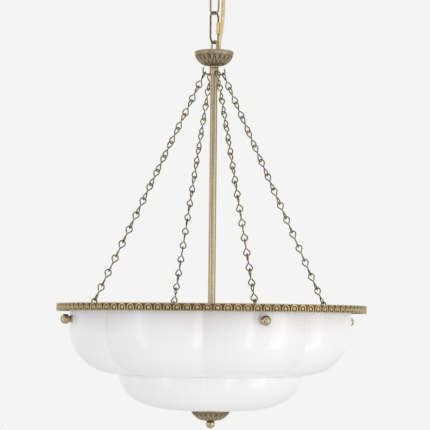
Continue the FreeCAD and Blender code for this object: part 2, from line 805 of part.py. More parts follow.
def hook_collar():
    inner = rod_radius + s.thread_clearance
    outer = s.collar_diameter / 2
    bead = outer + s.collar_bead
    outline = [
        (inner, 0),
        (bead, 0),
        (bead, s.collar_bead_height),
        (outer, s.collar_bead_height + s.collar_bead),
        (outer, s.collar_length - s.seat_gap),
        (inner, s.collar_length - s.seat_gap),
    ]
    body = new_body("hook_collar")
    turned_feature(body, outline)
    hole = s.hook_wire + 2 * s.thread_clearance
    for plane in ("XZ_Plane", "YZ_Plane"):
        hole_feature(body, plane, 0, s.hook_height - s.hook_bend, hole, midplane=True)
    place(body, collar_bottom)


def chain_hooks():
    """Upturned hooks: out from the collar, round a bend and up to a tip that leans back in."""
    body = new_body("chain_hooks")
    lean = math.radians(s.hook_lean.value)
    bend = s.hook_bend
    side = s.hook_reach + bend * math.cos(lean)
    top = bend * math.sin(lean)
    path = new_sketch(body, "XZ_Plane")
    spine = [
        (s.collar_diameter / 2 - s.hook_root, -bend),
        (s.hook_reach, -bend, (LEFT, bend)),
        (side, top),
        (side - s.hook_tip * math.sin(lean), top + s.hook_tip * math.cos(lean)),
    ]
    draw(path, spine, closed=False)
    section = body.newObject("Sketcher::SketchObject", "section")
    section.AttachmentSupport = [(path, "Edge1")]
    section.MapMode = "NormalToEdge"
    section.MapPathParameter = 0
    circle_in(section, 0, 0, s.hook_wire)
    pipe = body.newObject("PartDesign::AdditivePipe", "hook")
    pipe.Profile = section
    pipe.Spine = (path, ["Edge1", "Edge2", "Edge3"])
    around(body, [pipe], s.knob_count)
    place(body, collar_bottom + s.hook_height)


def rod():
    body = new_body("rod")
    bore = s.rod_bore / 2
    outline = [
        (finial_bore, rod_end),
        (rod_radius, rod_end),
        (rod_radius, cup_bottom - s.seat_gap),
        (bore, cup_bottom - s.seat_gap),
        (bore, rod_end + s.rod_thread),
        (finial_bore, rod_end + s.rod_thread),
    ]
    turned_feature(body, outline)
    hole_feature(body, "XZ_Plane", 0, hub_level, s.wire_hole)
    top = cup_bottom - s.spigot_length - s.seat_gap
    cable = cylinder(s.cable_diameter / 2, top - hub_level, point(0, 0, hub_level))
    node("rod_cable", cable)


# Rim


def rim_band():
    field = rim_outer - s.rim_recess
    edge = s.rim_height / 2
    bead = s.rim_bead
    outline = [
        (rim_inner, -edge),
        (rim_outer - bead / 2, -edge),
        (rim_outer, bead / 2 - edge),
        (rim_outer, bead - edge),
        (field, bead - edge + s.rim_recess),
        (field, edge - bead - s.rim_recess),
        (rim_outer, edge - bead),
        (rim_outer, edge - bead / 2),
        (rim_outer - bead / 2, edge),
        (rim_inner, edge),
    ]
    turned("rim_band", outline, ring_plane)


def rim_plate():
    body = new_body("rim_plate")
    ring = new_sketch(body, "XY_Plane")
    circle_in(ring, 0, 0, 2 * (rim_inner - s.seat_gap))
    circle_in(ring, 0, 0, 2 * plate_inner)
    padded_feature(body, ring, s.plate_thickness)
    tab = new_sketch(body, "XY_Plane")
    half = s.tab_width / 2
    root_x = plate_inner + half
    corner = half / 2
    draw(
        tab,
        [
            (tab_reach + corner, -half),
            (root_x, -half),
            (root_x, half),
            (tab_reach + corner, half),
            (tab_reach, corner),
            (tab_reach, -corner),
        ],
    )
    pad = padded_feature(body, tab, s.plate_thickness)
    around(body, [pad], s.knob_count)
    holes = new_sketch(body, "XY_Plane")
    circle_in(holes, eye_place, 0, s.eye_shank + 2 * s.seat_gap)
    rivet_place = leg_face - s.leg_foot + s.rivet_inset
    circle_in(holes, rivet_place, 0, s.rivet_diameter + 2 * s.seat_gap)
    pocket = body.newObject("PartDesign::Pocket", "holes")
    pocket.Profile = holes
    pocket.Type = "ThroughAll"
    pocket.Reversed = True
    around(body, [pocket], s.knob_count)
    place(body, plate_under)


def eye_bolts():
    eye = doc.addObject("Part::Torus", "eye")
    bind(eye, Radius1=s.eye_radius, Radius2=s.eye_wire / 2)
    eye.Placement = Placement(point(eye_place, 0, eye_level), Rotation(UP, Vector(0, 1, 0)))
    low = plate_under - s.eye_nut_height - s.eye_shank / 2
    shank = cylinder(s.eye_shank / 2, eye_level - s.eye_radius - low, point(eye_place, 0, low))
    ring_of("eye_bolts", fused(eye, shank), s.knob_count)
    bore = s.eye_shank / 2 + s.thread_clearance
    nut = hex_nut(s.eye_nut_flats, s.eye_nut_height, bore, plate_under - s.eye_nut_height, eye_place)
    ring_of("eye_bolt_nuts", nut, s.knob_count)


# Jack chains


def jack_half(half_length):
    """Points of a link's upper half, from its tip round the eye and down to its shank."""
    eye = s.jack_eye.value
    span = JACK_SHANK_ANGLE - JACK_TIP_ANGLE
    points = []
    for step in range(JACK_EYE_STRAIGHTS + 1):
        angle = math.radians(JACK_TIP_ANGLE + span * step / JACK_EYE_STRAIGHTS)
        points.append(Vector(eye * math.cos(angle), 0, half_length + eye * math.sin(angle)))
    points.append(Vector(0, 0, max(half_length - eye - s.jack_wire.value, s.jack_wire.value / 2)))
    return points


def jack_link(half_length):
    """A figure-eight link whose lower eye stands square to its upper one."""
    upper = jack_half(half_length)
    lower = [Vector(spot.y, spot.x, -spot.z) for spot in reversed(upper)]
    points = upper + lower
    sections = []
    for index, spot in enumerate(points):
        before = points[max(index - 1, 0)]
        after = points[min(index + 1, len(points) - 1)]
        arriving = (spot - before).normalize() if index > 0 else (after - spot).normalize()
        leaving = (after - spot).normalize() if index + 1 < len(points) else arriving
        heading = (arriving + leaving).normalize()
        stretch = 1 / math.cos(arriving.getAngle(leaving) / 2)
        if index < len(upper):
            square = Vector(0, 1, 0)
            inward = heading.cross(square) * stretch
            sections.append(wire_section(spot, inward, square))
        else:
            square = Vector(1, 0, 0)
            inward = square.cross(heading) * stretch
            sections.append(wire_section(spot, square, inward))
    return Part.makeLoft(sections, True, True)


def wire_section(spot, first, second):
    radius = s.jack_wire.value / 2
    corners = []
    for side in range(JACK_SIDES + 1):
        angle = math.radians(FULL_TURN * side / JACK_SIDES)
        corners.append(spot + first * (radius * math.cos(angle)) + second * (radius * math.sin(angle)))
    corners[-1] = corners[0]
    return Part.makePolygon(corners)


def jack_chains():
    """Taut chains from the hooks' bends to the eye bolts, twisting evenly on their way."""
    wire = s.jack_wire.value
    gap = s.jack_gap.value
    hook = point(s.hook_reach, 0, collar_bottom + s.hook_height)
    eye = point(eye_place, 0, eye_level)
    line = eye - hook
    first = (s.hook_bend - s.hook_wire / 2).value - wire / 2 - gap
    last = line.Length - (s.eye_radius - s.eye_wire / 2).value + wire / 2 + gap
    run = last - first - wire - gap
    count = round(run / s.jack_pitch.value)
    pitch = run / count
    half_length = (pitch + wire + gap) / 2 - s.jack_eye.value
    link = jack_link(half_length)
    along = line.normalize()
    across = Vector(0, 1, 0)
    upright = Rotation(across, across.cross(along), -along, "ZXY")
    links = []
    for index in range(count):
        middle = hook + along * (first + (pitch + wire + gap) / 2 + pitch * index)
        twist = Rotation(UP, s.jack_twist.value * index / (count - 1))
        placed = link.copy()
        placed.Placement = Placement(middle, upright * twist)
        links.append(placed)
    chain = Part.makeCompound(links)
    for index in range(int(s.knob_count.value)):
        copy = chain.copy()
        copy.rotate(Vector(), UP, FULL_TURN * index / s.knob_count.value)
        shaped(f"jack_chain_{index + 1}", copy)


# Glass bowl


def lobed_wire(radius, depth, crease, height):
    """A level outline of lobes that meet in rounded creases."""
    count = int(s.lobe_count.value)
    half_step = math.pi / count
    out = radius - depth + crease
    spread = out * math.cos(half_step)
    lobe = (out**2 + radius**2 - 2 * radius * spread - crease**2) / (2 * (crease + radius - spread))
    edges = []
    for index in range(count):
        middle = 2 * half_step * index
        core = polar(radius - lobe, middle, height)
        meets = []
        for side in (-1, 1):
            crease_core = polar(out, middle + side * half_step, height)
            meets.append(core + (crease_core - core).normalize() * lobe)
        edges.append(Part.Arc(meets[0], polar(radius, middle, height), meets[1]).toShape())
        turn = Rotation(UP, FULL_TURN / count)
        dip = polar(radius - depth, middle + half_step, height)
        edges.append(Part.Arc(meets[1], dip, turn.multVec(meets[0])).toShape())
    return Part.Wire(edges)


def polar(radius, angle, height):
    return Vector(radius * math.cos(angle), radius * math.sin(angle), height)


def tier(radius, flat, top, shoulder, bottom, depth):
    """A lobed tier: an upright wall, then a quarter ellipse in to a flat underside."""
    crease = s.crease_radius.value

    def section(at, height):
        scale = at / radius
        return lobed_wire(at, depth * scale, crease * scale, height)

    wall = Part.makeLoft([section(radius, top), section(radius, shoulder)], True, True)
    sections = []
    for step in range(TIER_SECTIONS + 1):
        angle = math.pi / 2 * step / TIER_SECTIONS
        at = flat + (radius - flat) * math.cos(angle)
        sections.append(section(at, shoulder - (shoulder - bottom) * math.sin(angle)))
    return wall.fuse(Part.makeLoft(sections, True, False))


def bowl_block(wall, lift):
    """Both tiers as one block, drawn in by a wall and run up past the glass's edge by a lift."""
    top = (plate_under - s.glass_gap).value + lift
    upper = tier(
        bowl_radius.value - wall,
        upper_flat.value,
        top,
        (ring_plane - s.shoulder_drop).value,
        (ring_plane - s.upper_depth).value + wall,
        s.lobe_depth.value,
    )
    step = (ring_plane - s.upper_depth).value + wall
    lower = tier(
        lower_radius.value - wall,
        lower_flat.value,
        step + s.tier_overlap.value,
        step,
        bowl_bottom.value + wall,
        s.lower_lobe_depth.value,
    )
    return upper.fuse(lower).removeSplitter()


def glass_bowl():
    glass = bowl_block(0, 0).cut(bowl_block(s.glass_wall.value, CUT_MARGIN))
    tools = []
    count = int(s.knob_count.value)
    for index in range(count):
        out = toward(FULL_TURN * index / count)
        start = out * (leg_face.value) + point(0, 0, knob_level)
        tools.append(Part.makeCylinder(s.stud_hole.value / 2, 2 * s.lobe_depth.value, start, out))
    bore = s.glass_bore.value / 2
    low = bowl_bottom.value - CUT_MARGIN
    tools.append(Part.makeCylinder(bore, s.glass_wall.value + 2 * CUT_MARGIN, Vector(0, 0, low)))
    shaped("glass_bowl", glass.cut(tools))


# Knob screws, brackets and felts


def glass_brackets():
    """Angle brackets inside the glass, riveted under the rim plate and tapped for the knob screws."""
    low = s.knob_drop + s.plate_top - s.plate_thickness + s.leg_tail
    rivet_place = leg_face - s.leg_foot + s.rivet_inset
    for index in range(int(s.knob_count.value)):
        body = new_body(f"glass_bracket_{index + 1}")
        profile = new_sketch(body, "XZ_Plane")
        draw(
            profile,
            [
                (leg_face - s.leg_foot, -s.leg_sheet),
                (leg_face - s.leg_sheet, -s.leg_sheet),
                (leg_face - s.leg_sheet, -low),
                (leg_face, -low),
                (leg_face, 0),
                (leg_face - s.leg_foot, 0),
            ],
        )
        padded_feature(body, profile, s.leg_width, midplane=True)
        level = plate_under - knob_level
        boss_sketch = new_sketch(body, "YZ_Plane")
        circle_in(boss_sketch, 0, -level, s.leg_boss)
        boss = padded_feature(body, boss_sketch, s.leg_boss_height + s.leg_sheet / 2)
        offset = leg_boss_face
        boss_sketch.AttachmentOffset = Placement(Vector(0, 0, offset.value), Rotation())
        boss_sketch.setExpression("AttachmentOffset.Base.z", offset.text)
        boss.Label = f"boss_{index + 1}"
        hole_feature(body, "YZ_Plane", 0, -level, 2 * stud_bore, midplane=True)
        hole_feature(body, "XY_Plane", rivet_place, 0, s.rivet_diameter + 2 * s.seat_gap, midplane=True)
        place(body, plate_under, FULL_TURN * index / s.knob_count.value)
    rivets = new_body("bracket_rivets")
    shank = s.rivet_diameter / 2
    head = s.rivet_head / 2
    high = s.plate_thickness
    under = -s.leg_sheet
    outline = [
        (0, under - s.rivet_head_height),
        (shank, under - s.rivet_head_height),
        (head, under),
        (shank, under),
        (shank, high),
        (head, high),
        (shank, high + s.rivet_head_height),
        (0, high + s.rivet_head_height),
    ]
    sketch = new_sketch(rivets, "XZ_Plane")
    draw(sketch, [(rivet_place + across, up) for across, up in outline])
    feature = rivets.newObject("PartDesign::Revolution", "turned")
    feature.Profile = sketch
    feature.ReferenceAxis = (sketch, ["Edge8"])
    feature.Angle = FULL_TURN
    around(rivets, [feature], s.knob_count)
    place(rivets, plate_under)


def felt_washers():
    inner = s.stud_hole / 2
    outer = s.felt_diameter / 2
    thick = s.felt_thickness
    for label, face in (
        ("inner_felt_washers", felt_inner_face - thick),
        ("outer_felt_washers", felt_outer_face),
    ):
        outline = [(face, inner), (face + thick, inner), (face + thick, outer), (face, outer)]
        turned(label, outline, knob_level, axis="H_Axis", count=s.knob_count)


def knob_screws():
    """Ball knobs on threaded studs that pass through the glass into the brackets."""
    ball = s.knob_diameter / 2
    neck = s.knob_neck / 2
    meet = knob_reach - half_chord(ball, neck)
    stud_start = leg_boss_face - s.stud_tip
    stud_end = knob_reach - ball + s.knob_bore_depth + ball / 2
    for index in range(int(s.knob_count.value)):
        turn = FULL_TURN * index / s.knob_count.value
        stud = s.stud_diameter / 2
        outline = [(stud_start, 0), (stud_end, 0), (stud_end, stud), (stud_start, stud)]
        turned(f"knob_stud_{index + 1}", outline, knob_level, turn, axis="H_Axis")
        outline = [
            (knob_base, stud_bore),
            (knob_base, neck),
            (meet, neck, (RIGHT, ball)),
            (knob_reach + ball, 0),
            (stud_end + s.hinge_gap, 0),
            (stud_end + s.hinge_gap, stud_bore),
        ]
        turned(f"knob_ball_{index + 1}", outline, knob_level, turn, axis="H_Axis")


# Bottom cup and finial


def bottom_fittings():
    hole = finial_bore + s.seat_gap
    gasket = tube_outline(hole, s.gasket_diameter / 2, 0, s.gasket_thickness)
    turned("bottom_gasket", gasket, glass_floor)
    washer = tube_outline(hole, s.washer_diameter / 2, 0, s.washer_thickness)
    turned("bottom_washer", washer, glass_floor + s.gasket_thickness)
    radius = s.bottom_cup_diameter / 2
    curve = s.bottom_cup_curve
    cup = cup_outline(radius, s.bottom_cup_height, s.bottom_rim_height, s.seat_hole / 2, curve)
    turned("bottom_cup", cup, bottom_cup_foot)


def finial():
    radius = s.ball_diameter / 2
    flat = s.ball_flat / 2
    top = half_chord(radius, flat)
    depth = top - s.ball_bore_depth
    outline = [
        (finial_bore, depth - s.hinge_gap),
        (finial_bore, top),
        (flat, top, (RIGHT, radius)),
        (0, -radius),
        (0, depth - s.hinge_gap),
    ]
    turned("finial_ball", outline, ball_level)
    stud_low = ball_level + depth
    stud = cylinder(s.finial_stud / 2, rod_end + s.finial_grip - stud_low, point(0, 0, stud_low))
    node("finial_stud", stud)


# Lamps


def lamp_hub():
    outer = s.hub_diameter / 2
    wall = s.hub_wall
    bore = rod_radius + s.thread_clearance
    low = -s.hub_height / 2
    high = s.hub_height / 2
    body = new_body("lamp_hub")
    shell = [
        (bore, low),
        (outer, low),
        (outer, high),
        (outer - wall, high),
        (outer - wall, low + wall),
        (bore, low + wall),
    ]
    turned_feature(body, shell)
    hole = s.holder_nipple + 2 * s.thread_clearance
    hole_feature(body, "XZ_Plane", 0, 0, hole, midplane=True)
    hole_feature(body, "YZ_Plane", 0, 0, hole, midplane=True)
    place(body, hub_level, s.lamp_turn)
    lid_lip = outer - wall - s.seat_gap
    lid = [
        (bore, high - wall),
        (lid_lip, high - wall),
        (lid_lip, high),
        (outer, high),
        (outer - wall, high + wall),
        (bore, high + wall),
    ]
    turned("lamp_hub_lid", lid, hub_level)


def lampholders():
    start = s.holder_start
    nipple = s.holder_nipple / 2
    side = s.holder_diameter / 2
    ring = side + s.holder_rim
    depth = lamp_mouth - s.holder_depth
    outline = [
        (s.hub_diameter / 2 - s.hub_wall, 0),
        (s.hub_diameter / 2 - s.hub_wall, nipple),
        (start, nipple),
        (start, s.holder_back / 2),
        (start + s.holder_taper, side),
        (lamp_mouth - s.holder_rim_length, side),
        (lamp_mouth - s.holder_rim_length, ring),
        (lamp_mouth, ring),
        (lamp_mouth, s.holder_bore / 2),
        (depth, s.holder_bore / 2),
        (depth, 0),
    ]
    for index in range(int(s.lamp_count.value)):
        turn = s.lamp_turn.value + FULL_TURN * index / s.lamp_count.value
        turned(f"lampholder_{index + 1}", outline, hub_level, turn, axis="H_Axis")


def bulbs():
    cap = s.cap_diameter / 2
    contact = s.cap_contact / 2
    neck = s.bulb_neck / 2
    globe = s.bulb_diameter / 2
    cap_outline = [
        (cap_back - s.cap_contact_height, 0),
        (cap_back - s.cap_contact_height, contact),
        (cap_back, cap - s.cap_contact_height),
        (cap_back + s.cap_contact_height, cap),
        (lamp_mouth, cap),
        (lamp_mouth, 0),
    ]
    turned("bulb_caps", cap_outline, hub_level, s.lamp_turn, "H_Axis", s.lamp_count)
    tip = lamp_mouth + s.bulb_length
    middle = tip - globe
    globe_outline = [
        (lamp_mouth, 0),
        (lamp_mouth, neck),
        (lamp_mouth + s.bulb_neck_length, neck, (LEFT, s.bulb_flare)),
        (middle - s.bulb_throat, half_chord(globe, s.bulb_throat), (RIGHT, globe)),
        (tip, 0),
    ]
    turned("bulb_globes", globe_outline, hub_level, s.lamp_turn, "H_Axis", s.lamp_count)


eye_level = plate_level + s.eye_radius + s.eye_wire / 2


def build():
    ceiling_bracket()
    canopy()
    canopy_fixings()
    terminal_block()
    canopy_loop()
    cord_bush("canopy_cord_bush", cord_point(*CORD_ROUTE[0]), canopy_bottom, 180)
    hanging_cord()
    hanging_links()
    cup_loop()
    cord_bush("cup_cord_bush", cord_point(*CORD_ROUTE[-1]), boss_deck, 0)
    top_cup()
    hook_collar()
    chain_hooks()
    rod()
    rim_band()
    rim_plate()
    eye_bolts()
    jack_chains()
    glass_bowl()
    glass_brackets()
    felt_washers()
    knob_screws()
    bottom_fittings()
    finial()
    lamp_hub()
    lampholders()
    bulbs()


def write_parts():
    """Check every piece, then write each one to its own file."""
    doc.recompute()
    for item in doc.Objects:
        faults = {"Invalid", "Error"}.intersection(item.State)
        if faults:
            raise RuntimeError(f"{item.Label} is {faults}")
    for item in nodes:
        if item.Shape.isNull() or not item.Shape.isValid() or not item.Shape.Solids:
            raise RuntimeError(f"{item.Label} has no valid solid")
    os.makedirs("parts", exist_ok=True)
    for item in nodes:
        item.Shape.exportStep(f"parts/{item.Label}.step")
    print(f"{len(nodes)} pieces written")


build()
write_parts()
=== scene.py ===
import math

import bmesh
import bpy
from bpy.props import FloatProperty, FloatVectorProperty, IntProperty, PointerProperty
from mathutils import Matrix, Vector
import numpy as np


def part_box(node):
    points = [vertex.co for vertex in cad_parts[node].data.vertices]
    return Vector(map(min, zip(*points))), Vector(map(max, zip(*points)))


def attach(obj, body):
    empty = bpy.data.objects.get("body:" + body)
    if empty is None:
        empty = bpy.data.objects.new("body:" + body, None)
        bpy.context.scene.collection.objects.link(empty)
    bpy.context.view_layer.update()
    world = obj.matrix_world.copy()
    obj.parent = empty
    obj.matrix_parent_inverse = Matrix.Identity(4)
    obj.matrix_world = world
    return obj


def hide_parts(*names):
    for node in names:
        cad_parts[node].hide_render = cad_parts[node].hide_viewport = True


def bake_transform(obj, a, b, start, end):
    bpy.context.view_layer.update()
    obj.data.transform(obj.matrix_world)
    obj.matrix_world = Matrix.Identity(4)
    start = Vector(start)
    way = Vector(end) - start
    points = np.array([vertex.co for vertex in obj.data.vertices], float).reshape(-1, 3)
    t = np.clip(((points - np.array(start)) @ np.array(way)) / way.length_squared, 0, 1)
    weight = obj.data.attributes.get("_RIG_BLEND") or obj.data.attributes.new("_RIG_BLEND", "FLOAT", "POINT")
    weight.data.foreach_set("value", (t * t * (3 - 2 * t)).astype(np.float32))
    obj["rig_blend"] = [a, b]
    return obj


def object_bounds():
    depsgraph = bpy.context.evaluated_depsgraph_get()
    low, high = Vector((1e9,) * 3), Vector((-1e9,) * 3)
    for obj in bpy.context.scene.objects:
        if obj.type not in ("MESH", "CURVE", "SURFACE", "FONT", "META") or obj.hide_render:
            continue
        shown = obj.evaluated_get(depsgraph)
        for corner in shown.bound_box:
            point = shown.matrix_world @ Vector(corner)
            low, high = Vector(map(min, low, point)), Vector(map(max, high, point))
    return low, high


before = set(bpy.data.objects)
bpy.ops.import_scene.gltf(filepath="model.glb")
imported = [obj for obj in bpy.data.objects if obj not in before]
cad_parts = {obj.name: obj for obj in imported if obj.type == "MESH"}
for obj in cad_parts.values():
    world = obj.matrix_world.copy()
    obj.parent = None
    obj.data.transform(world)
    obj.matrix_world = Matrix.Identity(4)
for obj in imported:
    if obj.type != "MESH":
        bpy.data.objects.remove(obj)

bl_info = {
    "name": "Bowl chandelier",
    "version": (1, 0, 0),
    "blender": (4, 5, 0),
    "location": "3D View > Sidebar > Chandelier",
    "description": "Dresses a glass bowl chandelier: rim, cups, chains, knobs and lamps",
    "category": "Object",
}

CAD_BOX = [list(corner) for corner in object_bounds()]
MM = 0.001
TURN = 2 * math.pi
SQUARE = math.pi / 2


def middle_z(node):
    """Height of the middle of a CAD node's box."""
    low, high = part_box(node)
    return (low.z + high.z) / 2


def turns(count, shift=0.0):
    """Angles spread evenly round the hanging axis."""
    return [TURN * (index + shift) / count for index in range(count)]


def numbered(stem):
    """The names of four like nodes or bodies."""
    return [f"{stem}_{index + 1}" for index in range(4)]


# Places that several pieces share, read from the boxes of the CAD nodes
RING_Z = middle_z("rim_band")
TOP_CUP_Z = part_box("top_cup")[0].z
COLLAR_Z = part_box("hook_collar")[0].z
PLATE_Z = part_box("rim_plate")[1].z

KNOB_TURNS = turns(4)
LAMP_TURNS = turns(4, 0.5)
CHAIN_TURN = math.radians(27)

# What like properties share
COLOUR = {"subtype": "COLOR", "min": 0, "max": 1}
LENGTH = {"subtype": "DISTANCE", "unit": "LENGTH"}
ANGLE = {"subtype": "ANGLE", "unit": "ROTATION"}


class BrassFinish(bpy.types.PropertyGroup):
    """Colours of the brass pieces."""

    recess: FloatVectorProperty(
        name="Recess", description="Dark patina in the hollows of the cast ornament",
        **COLOUR, default=(0.155, 0.117, 0.07),
    )
    aged: FloatVectorProperty(
        name="Aged", description="Aged brass of the canopy, cups and rim",
        **COLOUR, default=(0.375, 0.295, 0.185),
    )
    worn: FloatVectorProperty(
        name="Worn", description="Bright brass where the ornament is rubbed",
        **COLOUR, default=(0.74, 0.62, 0.42),
    )
    chain: FloatVectorProperty(
        name="Chain", description="Darker brass of the chain wire and hooks",
        **COLOUR, default=(0.21, 0.165, 0.072),
    )
    polished: FloatVectorProperty(
        name="Polished", description="Lighter polished brass of the rod, knobs and sleeve",
        **COLOUR, default=(0.46, 0.385, 0.245),
    )


class GlassFinish(bpy.types.PropertyGroup):
    """The opal glass and the bulbs."""

    opal: FloatVectorProperty(
        name="Opal", description="White of the bowl",
        **COLOUR, default=(0.93, 0.92, 0.93),
    )
    bulb: FloatVectorProperty(
        name="Bulb", description="Frosted white of the bulbs",
        **COLOUR, default=(0.84, 0.82, 0.77),
    )


class OrnamentSizes(bpy.types.PropertyGroup):
    """How many ornaments there are, and how far they stand out."""

    rim_motifs: IntProperty(
        name="Rim motifs", description="Arched leaves round the rim",
        min=24, max=160, default=104,
    )
    rim_relief: FloatProperty(
        name="Rim relief", description="Height of the rim's ornament",
        **LENGTH, min=0.0, max=0.003, default=2.0 * MM,
    )
    cup_leaves: IntProperty(
        name="Cup leaves", description="Leaves in each row of a cup",
        min=8, max=32, default=20,
    )
    leaf_relief: FloatProperty(
        name="Leaf relief", description="Height of the cups' leaves",
        **LENGTH, min=0.0, max=0.003, default=1.2 * MM,
    )


class StageSettings(bpy.types.PropertyGroup):
    """Camera and light."""

    azimuth: FloatProperty(
        name="Azimuth", description="Camera's turn about the hanging axis",
        **ANGLE, default=math.radians(-19.4),
    )
    distance: FloatProperty(
        name="Distance", description="Camera to the hanging axis",
        **LENGTH, default=2.789,
    )
    drop: FloatProperty(
        name="Drop", description="Camera below the rim's middle plane",
        **LENGTH, default=24.6 * MM,
    )
    pitch: FloatProperty(
        name="Pitch", description="Camera's tilt upwards",
        **ANGLE, default=math.radians(3.607),
    )
    yaw: FloatProperty(
        name="Yaw", description="Camera's turn away from the hanging axis",
        **ANGLE, default=math.radians(-0.083),
    )
    roll: FloatProperty(
        name="Roll", description="Camera's roll",
        **ANGLE, default=math.radians(0.58),
    )
    lens: FloatProperty(
        name="Lens", description="Focal length",
        subtype="DISTANCE_CAMERA", unit="CAMERA", default=144.5,
    )
    backdrop: FloatVectorProperty(
        name="Backdrop", description="Pale background",
        **COLOUR, default=(0.905, 0.905, 0.90),
    )
    ambient: FloatVectorProperty(
        name="Ambient", description="Even light from all round",
        **COLOUR, default=(0.785, 0.785, 0.785),
    )


# Shader expressions


class Value:
    """A socket that takes part in Python expressions; each operation adds a Math node."""

    def __init__(self, shading, socket):
        self.shading = shading
        self.socket = socket

    def math(self, operation, first, second):
        return self.shading.node("ShaderNodeMath", {"operation": operation}, {0: first, 1: second})

    def __add__(self, other):
        return self.math("ADD", self, other)

    def __radd__(self, other):
        return self.math("ADD", other, self)

    def __sub__(self, other):
        return self.math("SUBTRACT", self, other)

    def __rsub__(self, other):
        return self.math("SUBTRACT", other, self)

    def __mul__(self, other):
        return self.math("MULTIPLY", self, other)

    def __rmul__(self, other):
        return self.math("MULTIPLY", other, self)


class Shading:
    """The node tree of a material or of the world."""

    def __init__(self, owner):
        owner.use_nodes = True
        self.tree = owner.node_tree

    def node(self, kind, settings=None, inputs=None, output=0):
        """Add a node, set it up, feed it, and return one of its outputs."""
        added = self.tree.nodes.new(kind)
        for name, value in (settings or {}).items():
            if name == "stops":
                self.set_stops(added.color_ramp, value)
            else:
                setattr(added, name, value)
        for name, value in (inputs or {}).items():
            self.feed(added.inputs[name], value)
        return None if output is None else Value(self, added.outputs[output])

    def set_stops(self, ramp, stops):
        while len(ramp.elements) < len(stops):
            ramp.elements.new(1)
        for element, (position, colour) in zip(ramp.elements, stops):
            element.position = position
            element.color = (*colour, 1)

    def feed(self, socket, value):
        if isinstance(value, Value):
            self.tree.links.new(value.socket, socket)
        else:
            socket.default_value = value


class Finish(Shading):
    """A material of one Principled shader."""

    noise_roughness = 0.55

    def __init__(self, name):
        self.material = bpy.data.materials.new(name)
        super().__init__(self.material)
        self.shader = self.tree.nodes["Principled BSDF"]

    def surface(self, **inputs):
        """Feed the shader's own sockets, named with underscores for spaces."""
        for name, value in inputs.items():
            self.feed(self.shader.inputs[name.replace("_", " ")], value)
        return self.material

    def noise(self, scale, detail, stretch=None):
        """Noise on object coordinates, stretched along an axis where a finish has a grain."""
        where = self.node("ShaderNodeTexCoord", output="Object")
        if stretch is not None:
            where = self.node("ShaderNodeMapping", None, {"Vector": where, "Scale": stretch})
        inputs = {"Vector": where, "Scale": scale, "Detail": detail}
        inputs["Roughness"] = self.noise_roughness
        return self.node("ShaderNodeTexNoise", None, inputs, "Fac")

    def bump(self, height, distance, strength=1.0):
        inputs = {"Height": height, "Distance": distance, "Strength": strength}
        return self.node("ShaderNodeBump", None, inputs, "Normal")

    def ramp(self, factor, stops):
        return self.node("ShaderNodeValToRGB", {"stops": stops}, {"Fac": factor}, "Color")


def shade(colour, factor):
    """A colour made lighter or darker by a factor."""
    return tuple(min(channel * factor, 1.0) for channel in colour[:3])


def tones(colour, *steps):
    """Ramp stops of a colour made darker and lighter, from pairs of place and factor."""
    return [(place, shade(colour, factor)) for place, factor in steps]


def cast_brass(name, tint=(1.0, 1.0, 1.0)):
    """Cast ornament: dark patina in the hollows, rubbed bright on what stands out."""
    brass = bpy.context.scene.chandelier_brass
    recess, aged, worn = (
        [channel * share for channel, share in zip(tone, tint)]
        for tone in (brass.recess, brass.aged, brass.worn)
    )
    finish = Finish(name)
    patina = finish.noise(scale=190.0, detail=4.0)
    grain = finish.noise(scale=1500.0, detail=2.0)
    relief = finish.node("ShaderNodeAttribute", {"attribute_name": "relief"}, None, "Fac")
    wear = relief * 0.86 + (patina - 0.5) * 0.55 + (grain - 0.5) * 0.12
    stops = [(0.06, recess), (0.42, aged), (0.74, shade(worn, 0.72)), (0.96, worn)]
    return finish.surface(
        Base_Color=finish.ramp(wear, stops),
        Metallic=0.9,
        Roughness=0.52 - wear * 0.24,
        Normal=finish.bump(grain, distance=0.06 * MM),
    )


def polished_brass(name, lift=1.0):
    """Polished and lacquered brass, drawn along its length, with long streaks of tarnish and painted
    reflection.
    """
    # A lift above 1 lightens the whole colour: a painted highlight
    polished = shade(bpy.context.scene.chandelier_brass.polished, lift)
    finish = Finish(name)
    drawn = finish.noise(scale=900.0, detail=2.0, stretch=(1.0, 1.0, 0.03))
    # Long streaks along the length: partly tarnish, partly painted reflection lines, light and dark as a
    # lamp would lay them
    tarnish_and_painted_reflection = finish.noise(scale=170.0, detail=1.0, stretch=(1.0, 1.0, 0.01))
    # Tones above 1 are painted highlights in the streaks, tones below 1 are painted shade
    stops = tones(polished, (0.30, 0.55), (0.52, 1.0), (0.72, 1.45))
    return finish.surface(
        Base_Color=finish.ramp(drawn * 0.25 + tarnish_and_painted_reflection * 0.75, stops),
        Metallic=1.0,
        Roughness=0.12 + drawn * 0.12,
        Coat_Weight=0.25,
        Coat_Roughness=0.08,
        Normal=finish.bump(drawn, distance=0.02 * MM),
    )


def opal_glass(name):
    """Thick glossy opal glass with faint milky clouds and a slight ripple."""
    opal = bpy.context.scene.chandelier_glass.opal
    finish = Finish(name)
    milk = finish.noise(scale=9.0, detail=3.0)
    ripple = finish.noise(scale=14.0, detail=1.0)
    return finish.surface(
        Base_Color=finish.ramp(milk, tones(opal, (0.3, 0.985), (0.7, 1.01))),
        Roughness=0.29 + milk * 0.06,
        Coat_Weight=0.6,
        Coat_Roughness=0.1,
        Normal=finish.bump(ripple, distance=0.6 * MM, strength=0.5),
    )


def clouded(name, stops, cloud, roughness, depth, grain=None, share=1.0, **constants):
    """A finish with a cloud in its colour and gloss.

    A grain takes the rest of the colour and shapes the surface. Without one, the cloud does.
    Cloud and grain are given as scale, detail and stretch, roughness as a base and a change.
    """
    finish = Finish(name)
    cloud = finish.noise(*cloud)
    mix = surface = cloud
    if grain is not None:
        surface = finish.noise(*grain)
        mix = cloud * share + surface * (1 - share)
    dull, change = roughness
    return finish.surface(
        Base_Color=finish.ramp(mix, stops),
        Roughness=dull + cloud * change,
        Normal=finish.bump(surface, depth),
        **constants,
    )


